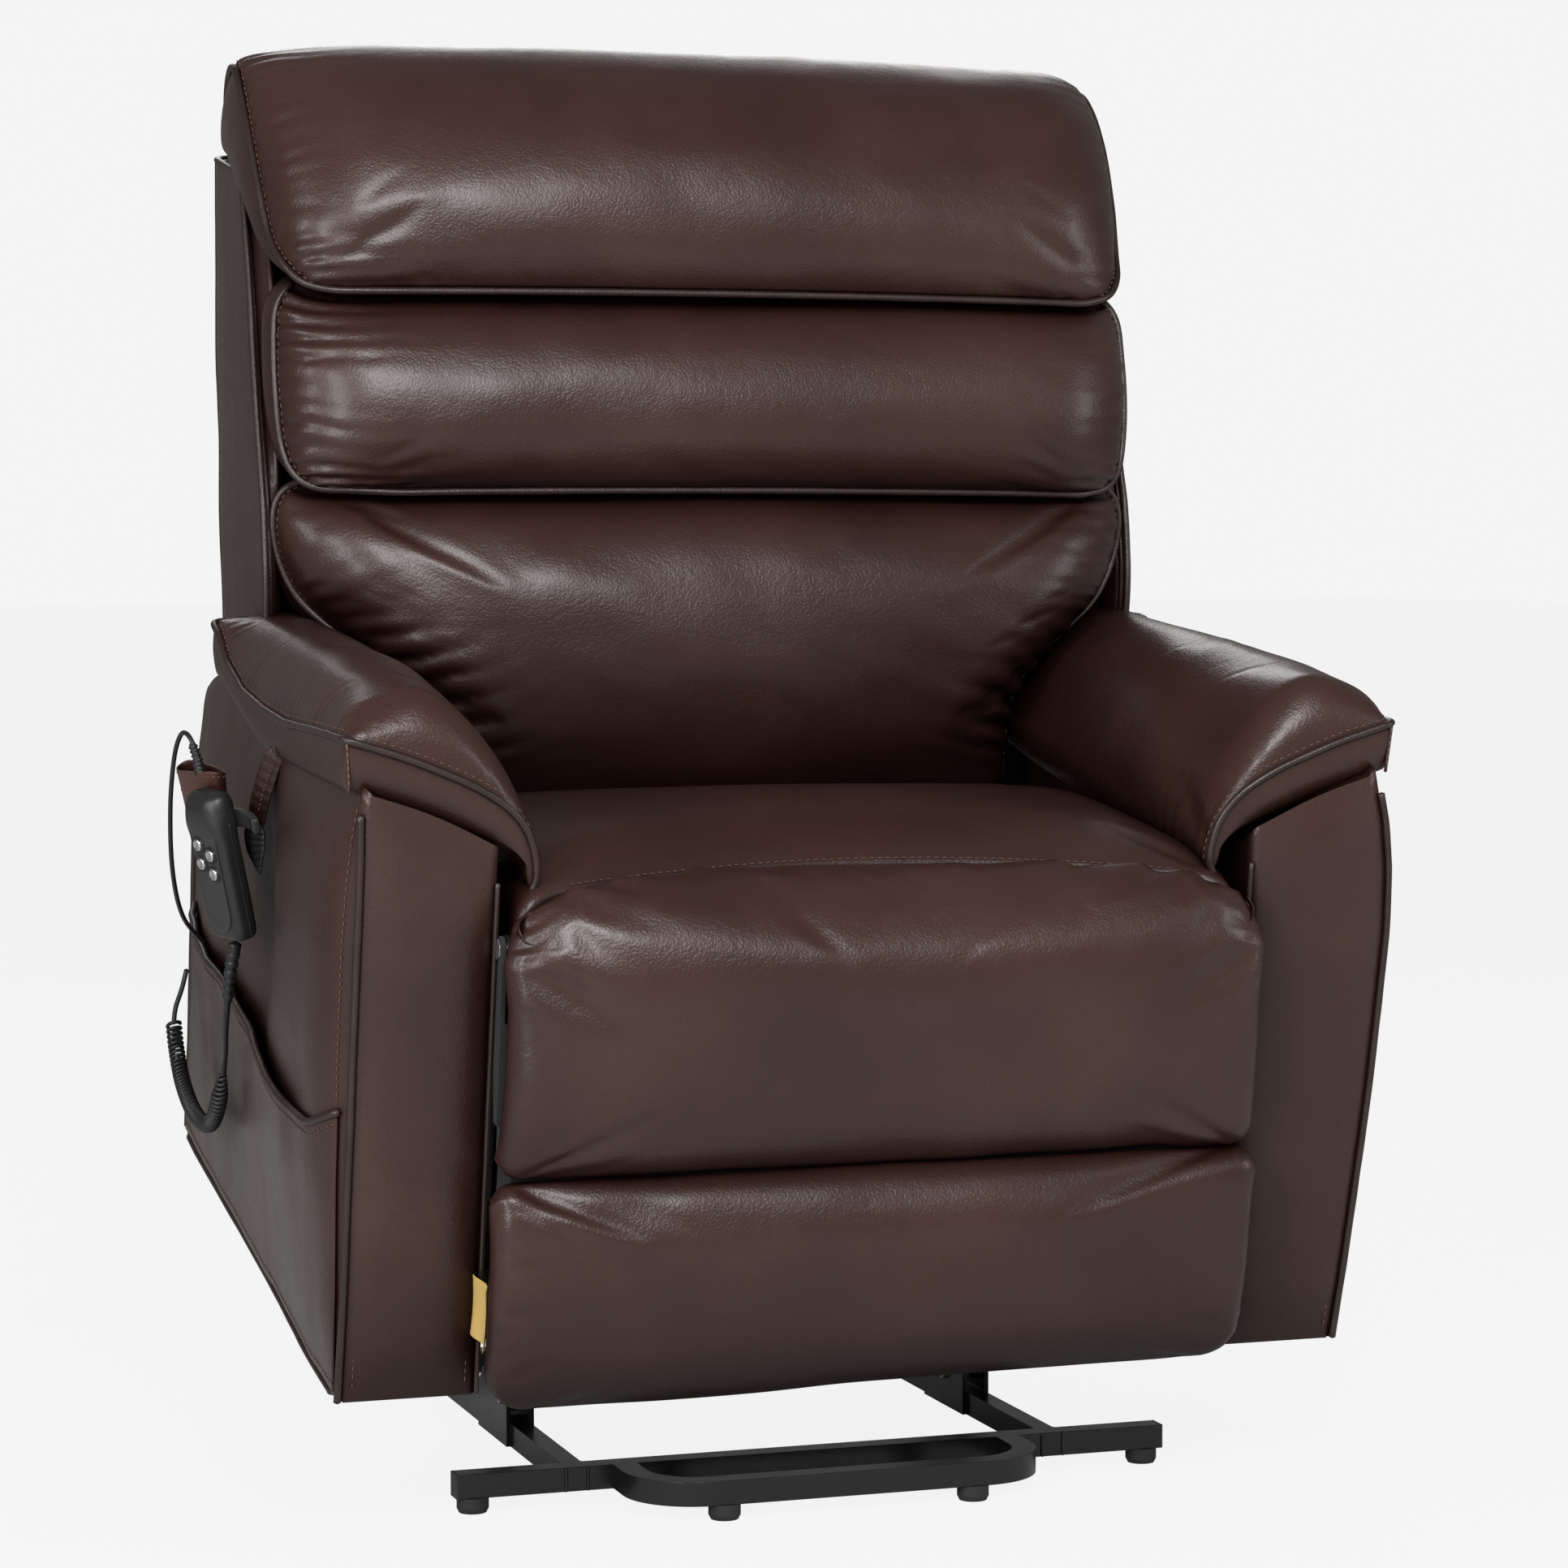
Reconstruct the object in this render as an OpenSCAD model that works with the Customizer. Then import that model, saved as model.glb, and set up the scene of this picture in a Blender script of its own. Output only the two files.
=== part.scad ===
// Lift recliner chair: steel lift base with an anti-tip loop, scissor-style lift
// links, two linear actuators, upholstered arms, seat, reclining back and a
// two-stage footrest.  Millimetres, +Z up, the chair faces -Y, +X is the
// sitter's left.  Origin: floor plane, centre of the four corner feet.
// At rest the chair is partly lifted, as it stands when a sitter is helped up.
// The arm nodes are named as seen from in front: "left" is the -X arm.

/* [Lift base] */
// Length of the two crossbars
bar_len = 683; // [660:1:700]
// Side of the square base tube
tube = 22; // [20:1:24]
// Height of the rubber feet
foot_h = 14; // [12:1:16]
// Distance between the front and rear crossbar centres
base_depth = 560; // [550:1:580]
// How far the anti-tip loop reaches in front of the front crossbar
loop_reach = 97; // [90:1:110]
// Outside width of the anti-tip loop
loop_w = 392; // [370:2:400]
// Bend radius of the loop, at the tube centre
loop_r = 55; // [45:1:65]

/* [Lift linkage] */
// Length of the main lift link, pivot to pivot
link_len = 400; // [396:1:404]
// Y of the main link's base pivot
pivot_y = -40; // [-42:1:-38]
// Height of the main link's base pivot
pivot_z = 50; // [49:0.5:51]
// Angle of the main link above level when the chair is fully lowered
link_low = 5; // [4.5:0.5:5.5]
// Clearance under the arms when the chair is fully lowered
low_clear = 42; // [42:0.5:44]
// Forward tilt of the fully raised chair
tilt_max = 27.5; // [26:0.5:28]

/* [Rest pose] */
// Forward tilt at rest
lift_tilt = 10.865; // [10.5:0.005:11.2]
// Y of the arms' front bottom edge at rest
chair_y = -387; // [-390:1:-384]
// Height of the arms' front bottom edge at rest
chair_z = 129.4; // [127:0.1:132]

/* [Upholstery] */
// Half width over the arms' side panels
arm_out = 478; // [474:1:482]
// Half width between the arms
arm_in = 347; // [346:1:349]
// Half width of the seat cushion
seat_w = 333; // [325:1:334]
// Half width of the back pillows
pillow_w = 422; // [410:1:422]
// Half width of the footrest pad
foot_w = 350; // [340:1:352]

/* [Joint limits] */
// Full recline of the back against the seat
recline_max = 38; // [30:1:38]
// Full swing of the upper footrest panel
flap_max = 74; // [60:1:74]

/* [Hidden] */
$fn = 48;

leather = "#4a3532";
steel_black = "#1b1b1c";
mech_black = "#232324";
motor_black = "#2a2a2c";
cable_black = "#161616";
rubber_black = "#141414";
bright = "#9a9c9f";
timber = "#b08a5a";

pin_r = 5.95;
hole_r = 6.05;   // turning holes in the links
bore_r = 6;      // fixed holes in plates and lugs
wall = 2;        // wall of the box tubes
lug_t = 5;       // thickness of the actuator lugs
play = 0.2;

// Plates stacked along X on the +X side: [inner face, outer face]
link_x = [221, 228];
guide_x = [231.6, 238];
chassis_x = [250, 255];
seat_link_x = [257, 262];
seat_x = [264, 269];
bracket_x = [271, 276];
lower_link_x = [300, 305];
upper_link_x = [308, 313];
outrigger_x = [336, 339.6];
ear_x = [341, 344.6];

// ---- lift geometry: places are [y, z] ----
function turn(angle, p) = [p[0]*cos(angle) - p[1]*sin(angle), p[0]*sin(angle) + p[1]*cos(angle)];
function angle_of(v) = atan2(v[1], v[0]);
base_pivot = [pivot_y, pivot_z];
chair_rest = [chair_y, chair_z];
// Main link's upper pivot in the chair's frame. At rest it lies on a line parallel
// to the chair's underside, line_rise straight above the base pivot.
link_top_z = pivot_z + link_len*sin(link_low) - low_clear;
line_rise = chair_z - pivot_z + tan(lift_tilt)*(pivot_y - chair_y) + link_top_z/cos(lift_tilt);
link_rest = lift_tilt + asin(line_rise*cos(lift_tilt)/link_len);
link_top_y = (pivot_y + link_len*cos(link_rest) + link_top_z*sin(lift_tilt) - chair_y)
  / cos(lift_tilt);
link_top = [link_top_y, link_top_z];
link_head = base_pivot + link_len*[cos(link_rest), sin(link_rest)];
// swing is the main link's turn away from rest
tilt_per_swing = lift_tilt/(link_rest - link_low);
swing_low = link_low - link_rest;
swing_high = tilt_max/tilt_per_swing + swing_low;
function chair_origin(swing) =
  base_pivot + link_len*[cos(link_rest + swing), sin(link_rest + swing)]
  - turn(lift_tilt + tilt_per_swing*swing, link_top);
function from_chair(p, swing) =
  chair_origin(swing) + turn(lift_tilt + tilt_per_swing*swing, p);
function to_chair(p) = turn(-lift_tilt, p - chair_rest);
// Guide link: its base pivot is the centre of the circle through its upper pivot
// when lowered, at rest and raised
guide_top = [624, 62];
guide_low = from_chair(guide_top, swing_low);
guide_head = from_chair(guide_top, 0);
guide_high = from_chair(guide_top, swing_high);
chord_rest = 2*(guide_head - guide_low);
chord_high = 2*(guide_high - guide_low);
square_rest = guide_head*guide_head - guide_low*guide_low;
square_high = guide_high*guide_high - guide_low*guide_low;
guide_base = [square_rest*chord_high[1] - chord_rest[1]*square_high,
    chord_rest[0]*square_high - square_rest*chord_high[0]]
  / (chord_rest[0]*chord_high[1] - chord_rest[1]*chord_high[0]);

// Cross tube and its actuator eye: distance along the main link, offset from it
cross_tube_at = [304, 0];
cross_eye = [280, -40];

// Pivots in the chair's frame
lift_motor_eye = [255, 190];
lift_rod_eye = to_chair(base_pivot + turn(link_rest, cross_eye));
seat_lean = 13;
seat_link_len = 100;
seat_bases = [[120, 150], [480, 150]];  // front, rear
seat_tops = [for (p = seat_bases) p + seat_link_len*[sin(seat_lean), cos(seat_lean)]];
back_pivot = [560, 330];
recline_x = 110;
recline_motor_eye = [190, 262];
recline_rod_eye = [575, 240];
flap_pivot = [-5, 402];
crease = [-9, 210];
roll_r = 55;  // cushion roll round the flap pivot
leg_seat = [136, 320];
leg_knee = leg_seat + 222*[cos(-87.27), sin(-87.27)];
leg_board = leg_knee + 166*[cos(-209.42), sin(-209.42)];

// ---- helpers: x, y and z arguments of solids are [from, to] ----
function span(half) = [-half, half];
function wider(x, extra) = [x[0] - extra, x[1] + extra];
// the +X half of an XZ outline, bottom up, joined to its mirror image
function symmetric(half) =
  concat(half, [for (i = [len(half)-1:-1:0]) [-half[i][0], half[i][1]]]);
module lifted() translate([0, chair_y, chair_z]) rotate([lift_tilt, 0, 0]) children();
module mirrored() mirror([1, 0, 0]) children();
module both_sides() {
  children();
  mirrored() children();
}
module yz_plate(x, pts)
  translate([x[0], 0, 0]) rotate([90, 0, 90]) linear_extrude(x[1] - x[0]) polygon(pts);
module xz_plate(y, pts)
  translate([0, y[1], 0]) rotate([90, 0, 0]) linear_extrude(y[1] - y[0]) polygon(pts);
module box(x, y, z) translate([x[0], y[0], z[0]]) cube([x[1]-x[0], y[1]-y[0], z[1]-z[0]]);
// round bar along X at a YZ place
module xbar(p, r, x) translate([x[0], p[0], p[1]]) rotate([0, 90, 0]) cylinder(h = x[1]-x[0], r = r);
// round bar along +Y from an XYZ place
module ybar(start, length, r) translate(start) rotate([-90, 0, 0]) cylinder(h = length, r = r);
module bores(places, x) for (p = places) xbar(p, bore_r, wider(x, 1));
// square box tube along X, y and z at its low corner
module box_tube(x, y, z, side) difference() {
  box(x, [y, y + side], [z, z + side]);
  box(wider(x, 1), [y + wall, y + side - wall], [z + wall, z + side - wall]);
}
// frame with its origin at one YZ place and +Y towards another
module along(from, to, x = 0)
  translate([x, from[0], from[1]]) rotate([angle_of(to - from), 0, 0]) children();
// flat link between two YZ places
module flat_link(from, to, width, x) {
  length = norm(to - from);
  difference() {
    along(from, to) union() {
      box(x, [0, length], span(width/2));
      for (y = [0, length]) xbar([y, 0], width/2 + 1.5, x);
    }
    for (p = [from, to]) xbar(p, hole_r, wider(x, 1));
  }
}
// pivot bolt along X: hexagonal head at the low end, round nut at the high end
module pivot_pin(p, x, head_h = 4, nut_h = 3, head_r = 9) {
  xbar(p, pin_r, wider(x, 0.01));
  xbar(p, head_r, [x[0] - head_h, x[0]], $fn = 6);
  xbar(p, head_r, [x[1], x[1] + nut_h]);
}
// two lugs either side of an actuator eye
module eye_lugs(eye, mid_x, y, z) for (x = [mid_x - 14 - lug_t, mid_x + 14]) difference() {
  union() {
    box([x, x + lug_t], y, z);
    xbar(eye, 10, [x, x + lug_t]);
  }
  xbar(eye, bore_r, [mid_x - 30, mid_x + 30]);
}
module cable(pts, r) for (i = [0:len(pts)-2]) hull() {
  translate(pts[i]) sphere(r = r, $fn = 14);
  translate(pts[i+1]) sphere(r = r, $fn = 14);
}

// ---- lift base ----
bar_y = base_depth/2;
base_z = [foot_h, foot_h + tube];
rail_x = [220.5, 239.5];
ear_t = 4;
base_ear = [[-89, foot_h], [-89, 70], [-85, 74], [2, 74], [20, 56], [20, foot_h]];
module base_frame() color(steel_black) difference() {
  union() {
    for (s = [-1, 1]) box_tube(span(bar_len/2 - 2.5), s*bar_y - tube/2, foot_h, tube);
    both_sides() {
      difference() {
        box(rail_x, span(bar_y - tube/2), base_z);
        box(wider(rail_x, -wall), span(bar_y - tube/2 + 1), wider(base_z, -wall));
      }
      for (x = [rail_x[1], rail_x[0] - ear_t]) yz_plate([x, x + ear_t], base_ear);
    }
  }
  both_sides() {
    xbar(base_pivot, bore_r, [215, 222]);
    xbar(guide_base, bore_r, [238, 245]);
  }
}
leg_x = loop_w/2 - tube/2;
loop_y = -bar_y - loop_reach;
loop_z = foot_h + tube/2;
// U of square section, its legs running past the front crossbar's face by overshoot
module loop_sweep(half, overshoot) {
  both_sides() {
    box([leg_x - half, leg_x + half], [loop_y + loop_r, -bar_y - tube/2 + overshoot],
      [loop_z - half, loop_z + half]);
    translate([leg_x - loop_r, loop_y + loop_r, loop_z]) rotate([0, 0, -90])
      rotate_extrude(angle = 90, $fn = 64) translate([loop_r, 0]) square(2*half, center = true);
  }
  box(span(leg_x - loop_r), [loop_y - half, loop_y + half], [loop_z - half, loop_z + half]);
}
module anti_tip_loop() color(steel_black) difference() {
  loop_sweep(tube/2, 0);
  loop_sweep(tube/2 - wall, 1);
}
cap_t = 2.4;
module base_end_caps() color("#151515")
  for (s = [-1, 1]) both_sides() translate([0, s*bar_y, 0]) {
    box([bar_len/2 - cap_t, bar_len/2], span(tube/2), base_z);
    box([bar_len/2 - 14, bar_len/2 - cap_t], span(tube/2 - cap_t), wider(base_z, -cap_t));
  }
module foot() {
  chamfer_h = 4;
  cylinder(h = chamfer_h, r1 = 12.5, r2 = 14.5);
  translate([0, 0, chamfer_h]) cylinder(h = foot_h - chamfer_h, r = 14.5);
}
// the corner feet have a screw recess, the loop's feet are plain
module rubber_feet() color(rubber_black) {
  for (s = [-1, 1]) both_sides() translate([324, s*bar_y, 0]) difference() {
    foot();
    translate([0, 0, -1]) cylinder(h = 7, r = 4);
  }
  both_sides() translate([118, loop_y, 0]) foot();
}
module lift_base_pins() color(bright) both_sides() {
  pivot_pin(base_pivot, [216.4, 228.4], 4, 2);
  mirrored() pivot_pin(guide_base, [-243.6, -231.4], 4, 2, 8);
}

// ---- lift links ----
module lift_links() color(steel_black) both_sides() flat_link(base_pivot, link_head, 21, link_x);
module lift_cross_tube() color(steel_black) along(base_pivot, link_head) difference() {
  union() {
    xbar(cross_tube_at, 10.4, span(link_x[0]));
    for (x = [-12 - lug_t, 12]) {
      yz_plate([x, x + lug_t], [[269.4, -42], [290.6, -42], [312, -4], [296, -4]]);
      xbar(cross_eye, 11, [x, x + lug_t]);
    }
  }
  xbar(cross_tube_at, 8, span(link_x[0] + 1));
  xbar(cross_eye, hole_r, span(20));
}
// the upper eye is a clearance hole, because this pivot is the linkage's open one
module lift_guide_links() color(steel_black) both_sides() difference() {
  flat_link(guide_base, guide_head, 25, guide_x);
  xbar(guide_head, 9.8, wider(guide_x, 1));
}

// ---- chassis ----
// [y, z]
chassis_outline = [[40, 50], [40, 100], [95, 172], [215, 216], [275, 216], [420, 172],
  [520, 172], [620, 140], [702, 84], [712, 58], [706, 24], [600, 24], [540, 50]];
module chassis_side_plates() color(mech_black) lifted() both_sides() difference() {
  yz_plate(chassis_x, chassis_outline);
  bores(concat([link_top, guide_top], seat_bases), chassis_x);
}
module chassis_cross_tubes() color(mech_black) lifted() {
  for (t = [[60, 66], [588, 100]]) {
    box_tube(span(chassis_x[0]), t[0], t[1], 25);
    both_sides() box_tube([chassis_x[1], arm_in - 0.5], t[0], t[1], 25);
  }
  box(span(chassis_x[0]), [214, 234], [190, 210]);
  eye_lugs(lift_motor_eye, 0, [233.9, 255], [182, 198]);
}
module chassis_pivot_pins() color(bright) lifted() {
  both_sides() {
    mirrored() pivot_pin(link_top, [-255.1, -220.4], 4, 2.5);
    mirrored() pivot_pin(guide_top, [-255.1, -231.3], 4, 2, 8);
    for (p = seat_bases) pivot_pin(p, [chassis_x[0] - play, seat_link_x[1] + play], 4, 1.6);
  }
  pivot_pin(lift_motor_eye, span(19.1));
}
module power_supply() color("#202020") lifted() {
  box([-190, -85], [440, 587.5], [102, 140]);
  translate([-137, 441, 121]) rotate([90, 0, 0]) cylinder(h = 26, r = 5);
}
module rear_apron() color(leather) lifted() {
  box(span(340), [742, 750], [40, 235]);
  both_sides() box([322, 340], [712, 742], [60, 215]);
}
module arm_glides() color("#111111") lifted() both_sides()
  for (y = [40, 690]) translate([408, y, -8]) cylinder(h = 8, r = 12);

// ---- arms, drawn on the +X side ----
module arm_frame() color(timber) {
  frame_x = [arm_in + 24, arm_out - 22];
  box(frame_x, [30, 700], [8, 26]);
  box(frame_x, [20, 38], [26, 440]);
  box(frame_x, [690, 708], [26, 400]);
  box(frame_x, [38, 690], [382, 400]);
  box([arm_in + 24, arm_in + 42], [38, 690], [180, 240]);
}
// side outlines of the cover and its open-bottomed hollow, [y, z]
arm_outline = [[0, 0], [0, 476], [8, 498], [24, 508], [172, 501], [349, 487], [467, 491],
  [560, 505], [610, 503], [690, 474], [732, 442], [765, 400], [780, 355],
  [770, 243], [753, 120], [730, 0]];
arm_hollow = [[12, -1], [12, 455], [30, 470], [172, 474], [349, 462], [467, 464],
  [600, 460], [700, 420], [752, 350], [745, 243], [730, 120], [716, -1]];
module arm_cover() color(leather) difference() {
  yz_plate([arm_in, arm_out], arm_outline);
  yz_plate([arm_in + 12, arm_out - 12], arm_hollow);
}
// cross-section of the pad, [x, z]
pad_section = [[arm_out+4, 480], [arm_out+5, 583], [462, 606], [410, 621], [370, 606],
  [335, 568], [313, 512], [309, 458], [317, 444], [arm_in-2, 444], [arm_in-2, 480]];
// side outlines of the pad, [y, z]: shared top, underside on the arm, overhanging inner edge
pad_top = [[600, 506], [598, 528], [560, 550], [491, 574], [342, 603], [228, 615],
  [47, 621], [14, 602], [3, 560]];
pad_under = [[3, 500], [24, 510], [172, 503], [349, 489], [467, 493], [560, 507]];
pad_edge = [[3, 443], [440, 443], [600, 500]];
module arm_pad() color(leather) intersection() {
  xz_plate([0, 620], pad_section);
  union() {
    yz_plate([arm_in - 1, arm_out + 6], concat(pad_under, pad_top));
    yz_plate([300, arm_in - 0.99], concat(pad_edge, pad_top));
  }
}
module arm_frame_left() lifted() mirrored() arm_frame();
module arm_frame_right() lifted() arm_frame();
module arm_cover_left() lifted() mirrored() arm_cover();
module arm_cover_right() lifted() arm_cover();
module arm_pad_left() lifted() mirrored() arm_pad();
module arm_pad_right() lifted() arm_pad();

// ---- actuators ----
eye_x = span(9);
rod_r = 9.05;
// gearbox and outer tube at the motor eye, with the motor can alongside
module actuator_motor(eye, rod_eye, tube_len, x) along(eye, rod_eye, x) difference() {
  union() {
    xbar([0, 0], 12, eye_x);
    box(eye_x, [0, 24], span(10));
    box(span(24), [20, 74], span(20));
    ybar([0, 74, 0], tube_len - 74, 14);
    ybar([47, 24, 0], 125, 21);
    box([20, 47], [26, 70], span(16));
  }
  xbar([0, 0], hole_r, wider(eye_x, 1));
  ybar([0, 60, 0], tube_len, rod_r + 0.05);
}
module actuator_rod(eye, rod_eye, rod_len, x) {
  total = norm(rod_eye - eye);
  along(eye, rod_eye, x) difference() {
    union() {
      ybar([0, total - rod_len, 0], rod_len - 8, rod_r);
      xbar([total, 0], 11, eye_x);
      box(eye_x, [total - 22, total], span(8));
    }
    xbar([total, 0], hole_r, wider(eye_x, 1));
  }
}
module lift_actuator_motor() color(motor_black) lifted()
  actuator_motor(lift_motor_eye, lift_rod_eye, 300, 0);
module lift_actuator_rod() color(bright) lifted()
  actuator_rod(lift_motor_eye, lift_rod_eye, 285, 0);
module recline_actuator_motor() color(motor_black) lifted()
  actuator_motor(recline_motor_eye, recline_rod_eye, 250, recline_x);
module recline_actuator_rod() color(bright) lifted()
  actuator_rod(recline_motor_eye, recline_rod_eye, 220, recline_x);

// ---- seat ----
module seat_link(i) color(mech_black) lifted() both_sides()
  flat_link(seat_bases[i], seat_tops[i], 20, seat_link_x);
module seat_links_front() seat_link(0);
module seat_links_rear() seat_link(1);
// [y, z]
seat_plate = [[12, 276], [12, 326], [60, 326], [124, 326], [130, 331], [142, 331], [148, 326],
  [530, 326], [546, 345], [573, 345], [576, 323], [568, 317], [546, 313], [534, 286],
  [504, 232], [100, 232], [60, 262]];
module seat_side_plates() color(mech_black) lifted() both_sides() {
  difference() {
    yz_plate(seat_x, seat_plate);
    bores(concat(seat_tops, [back_pivot, leg_seat]), seat_x);
  }
  // outriggers that carry the footrest's upper pivot
  box([seat_x[1], outrigger_x[0]], [18, 33], [312, 327]);
  difference() {
    union() {
      yz_plate(outrigger_x, [[-16, 398], [6, 410], [38, 335], [38, 308], [12, 308], [8, 330]]);
      xbar(flap_pivot, 12, outrigger_x);
    }
    bores([flap_pivot], outrigger_x);
  }
}
module seat_cross_tubes() color(mech_black) lifted() {
  for (t = [[40, 274], [180, 282], [492, 274]]) box_tube(span(seat_x[0]), t[0], t[1], 20);
  eye_lugs(recline_motor_eye, recline_x, [182, 198], [262, 282.1]);
}
module seat_deck_rails() color(timber) lifted()
  for (y = [[20, 60], [500, 538]]) box(span(seat_x[0] - play), y, [294.2, 322]);
// zigzag springs: runs along Y, staggered either side of x, joined by short cross wires
wire_r = 2;
spring_z = 326;
spring_pitch = 55;
module seat_springs() color(bright) lifted() for (x = [-200:80:200]) for (i = [0:7]) {
  y = 60 + i*spring_pitch;
  ybar([x + (i % 2 == 0 ? 14 : -14), y, spring_z], spring_pitch, wire_r);
  if (i < 7) xbar([y + spring_pitch, spring_z], wire_r, [x - 16, x + 16]);
}
module seat_pivot_pins() color(bright) lifted() {
  both_sides() {
    for (p = seat_tops) pivot_pin(p, [seat_link_x[0] - play, seat_x[1] + play], 2, 2);
    pivot_pin(back_pivot, [seat_x[0] - play, bracket_x[1] + play], 3, 4);
    pivot_pin(leg_seat, [seat_x[0] - play, lower_link_x[1] + play], 3, 2, 8.5);
    mirrored() pivot_pin(flap_pivot, [-345.1, -335.9], 1.4, 1.5, 9);
  }
  pivot_pin(recline_motor_eye, wider([recline_x, recline_x], 19.1));
}
// [y, z]
cushion_side = [[-5, 457], [60, 466], [150, 468], [300, 452], [436, 424], [446, 400],
  [448, 340], [436, 331], [40, 331], [30, 350], [-5, 370]];
module seat_cushion() color(leather) lifted() intersection() {
  xz_plate([-80, 470], symmetric([[seat_w, 328], [seat_w, 412], [304, 438], [298, 475]]));
  union() {
    xbar(flap_pivot, roll_r, span(seat_w));
    yz_plate(span(seat_w), cushion_side);
  }
}

// ---- back ----
// [y, z]
bracket = [[547, 322], [552, 298], [600, 296], [612, 345], [625, 400], [668, 590],
  [642, 597], [588, 420], [556, 345]];
module back_brackets() color(mech_black) lifted() {
  both_sides() difference() {
    yz_plate(bracket_x, bracket);
    xbar(back_pivot, hole_r, wider(bracket_x, 1));
  }
  box_tube(span(bracket_x[0]), 576, 298, 20);
  eye_lugs(recline_rod_eye, recline_x, [566, 590], [240, 298.1]);
  // stub pins that reach into the rod's eye from both lugs
  for (x = [[91, 98], [122, 129]]) xbar(recline_rod_eye, pin_r, x);
}
// drawn upright, then leaned to the rear
module back_frame() color(timber) lifted() translate([0, 606, 345]) rotate([-14.5, 0, 0]) {
  deep = span(20);
  both_sides() {
    box([280, 300], deep, [0, 300]);
    box([396, 414], deep, [340, 624]);
  }
  box(span(268), deep, [30, 70]);
  box(span(300), deep, [300, 340]);
  both_sides() box([300, 414], deep, [300, 340]);
  box(span(396), deep, [586, 624]);
  // support wires
  for (z = [110:60:290]) xbar([0, z], wire_r, span(270.9));
  for (z = [380:60:560]) xbar([0, z], wire_r, span(396));
}
// back cover outlines, [y, z]: shared rear line, side panel front, rear panel front
back_rear = [[774, 524], [790, 575], [833, 730], [865, 890], [880, 968]];
back_side = [[718, 961], [692, 914], [613, 760], [572, 686]];
back_inner = [[868, 968], [853, 890], [821, 730], [778, 577], [762, 529]];
module back_cover() color(leather) lifted() {
  both_sides() yz_plate([424, 440], concat([[550, 622]], back_rear, back_side));
  yz_plate(span(424), concat(back_rear, back_inner));
  yz_plate(span(424), [[722, 960], [728, 968], [868, 968], [868, 958], [733, 958]]);
  yz_plate(span(332), [[774, 524], [762, 529], [735, 300], [747, 300]]);
}
// side: outline [y, z]; front_half: +X half of the outline from in front, [x, z]
module pillow(half_w, side, front_half) color(leather) intersection() {
  yz_plate(span(half_w), side);
  xz_plate([380, 900], symmetric(front_half));
}
module lower_pillow() lifted() pillow(pillow_w,
  [[452, 428], [452, 470], [458, 560], [478, 640], [510, 690], [560, 692], [575, 690],
    [541, 620], [539, 428]],
  [[304, 420], [304, 585], [pillow_w, 596], [pillow_w, 680], [400, 695]]);
module middle_pillow() lifted() pillow(pillow_w,
  [[540, 697], [508, 730], [512, 800], [552, 868], [600, 880], [670, 880], [584, 697]],
  [[385, 697], [pillow_w, 735], [pillow_w, 860], [410, 881]]);
module head_pillow() lifted() pillow(pillow_w + 18,
  [[588, 886], [562, 930], [586, 1010], [650, 1078], [720, 1103], [790, 1092], [836, 1044],
    [852, 1000], [846, 972], [716, 972], [676, 886]],
  [[390, 886], [422, 920], [438, 1000], [440, 1060], [414, 1092], [300, 1105]]);

// ---- footrest ----
board_y = [-21, -9.6];
knuckle_w = 38;
flap_knuckles = [-260, 180];
footrest_knuckles = [-221.5, 218.5];
// hinge barrels round the crease, each with a strap onto its board
module knuckles(starts, strap_z) for (x = starts) {
  xbar(crease, 6, [x, x + knuckle_w]);
  box([x, x + knuckle_w], [-14, -9.4], strap_z);
}
module knuckle_holes(starts) for (x = starts) xbar(crease, 3.1, [x - 1, x + knuckle_w + 1]);
// [y, z]
flap_ear = [[-16, 402], [-21, 330], [-21, 250], [-9.6, 250], [4, 330], [6, 402]];
module flap_board() color(timber) lifted() difference() {
  union() {
    box(span(341), board_y, [217, 340]);
    both_sides() yz_plate(ear_x, flap_ear);
    both_sides() xbar(flap_pivot, 11, ear_x);
    knuckles(flap_knuckles, [210, 260]);
  }
  both_sides() xbar(flap_pivot, hole_r, wider(ear_x, 1));
  knuckle_holes(flap_knuckles);
}
module flap_pad() color(leather) lifted() difference() {
  yz_plate(span(seat_w),
    [[-60, 392], [-66, 300], [-60, 226], [-22, 216], [-22, 352], [-40, 392]]);
  xbar(flap_pivot, roll_r + 1.5, span(400));
}
module footrest_board() color(timber) lifted() difference() {
  union() {
    box(span(330), board_y, [10, 203]);
    knuckles(footrest_knuckles, [160, 210]);
    both_sides()
      yz_plate([314.6, 319], [[-10, 165], [8, 170], [12, 180], [8, 190], [-10, 195]]);
  }
  knuckle_holes(footrest_knuckles);
  both_sides() xbar(leg_board, hole_r, [313, 320]);
}
module footrest_pad() color(leather) lifted() yz_plate(span(foot_w),
  [[-60, 194], [-64, 120], [-58, 50], [-44, 8], [-34, 2], [-22, 4], [-22, 204]]);
module crease_hinge_pins() color(bright) lifted() for (x = flap_knuckles) {
  xbar(crease, 3, [x - 1, x + 78]);
  xbar(crease, 5, [x - 3, x - 1]);
}
module footrest_links_lower() color(mech_black) lifted() both_sides()
  flat_link(leg_seat, leg_knee, 15, lower_link_x);
module footrest_links_upper() color(mech_black) lifted() both_sides() {
  flat_link(leg_knee, leg_board, 13, upper_link_x);
  // stub pin through the knee, with a collar at each end
  mirrored() {
    xbar(leg_knee, pin_r, [-308, -299.5]);
    xbar(leg_knee, 8.5, [-299.5, -297.5]);
    xbar(leg_knee, 8.5, [-314.5, -307]);
  }
}

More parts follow.
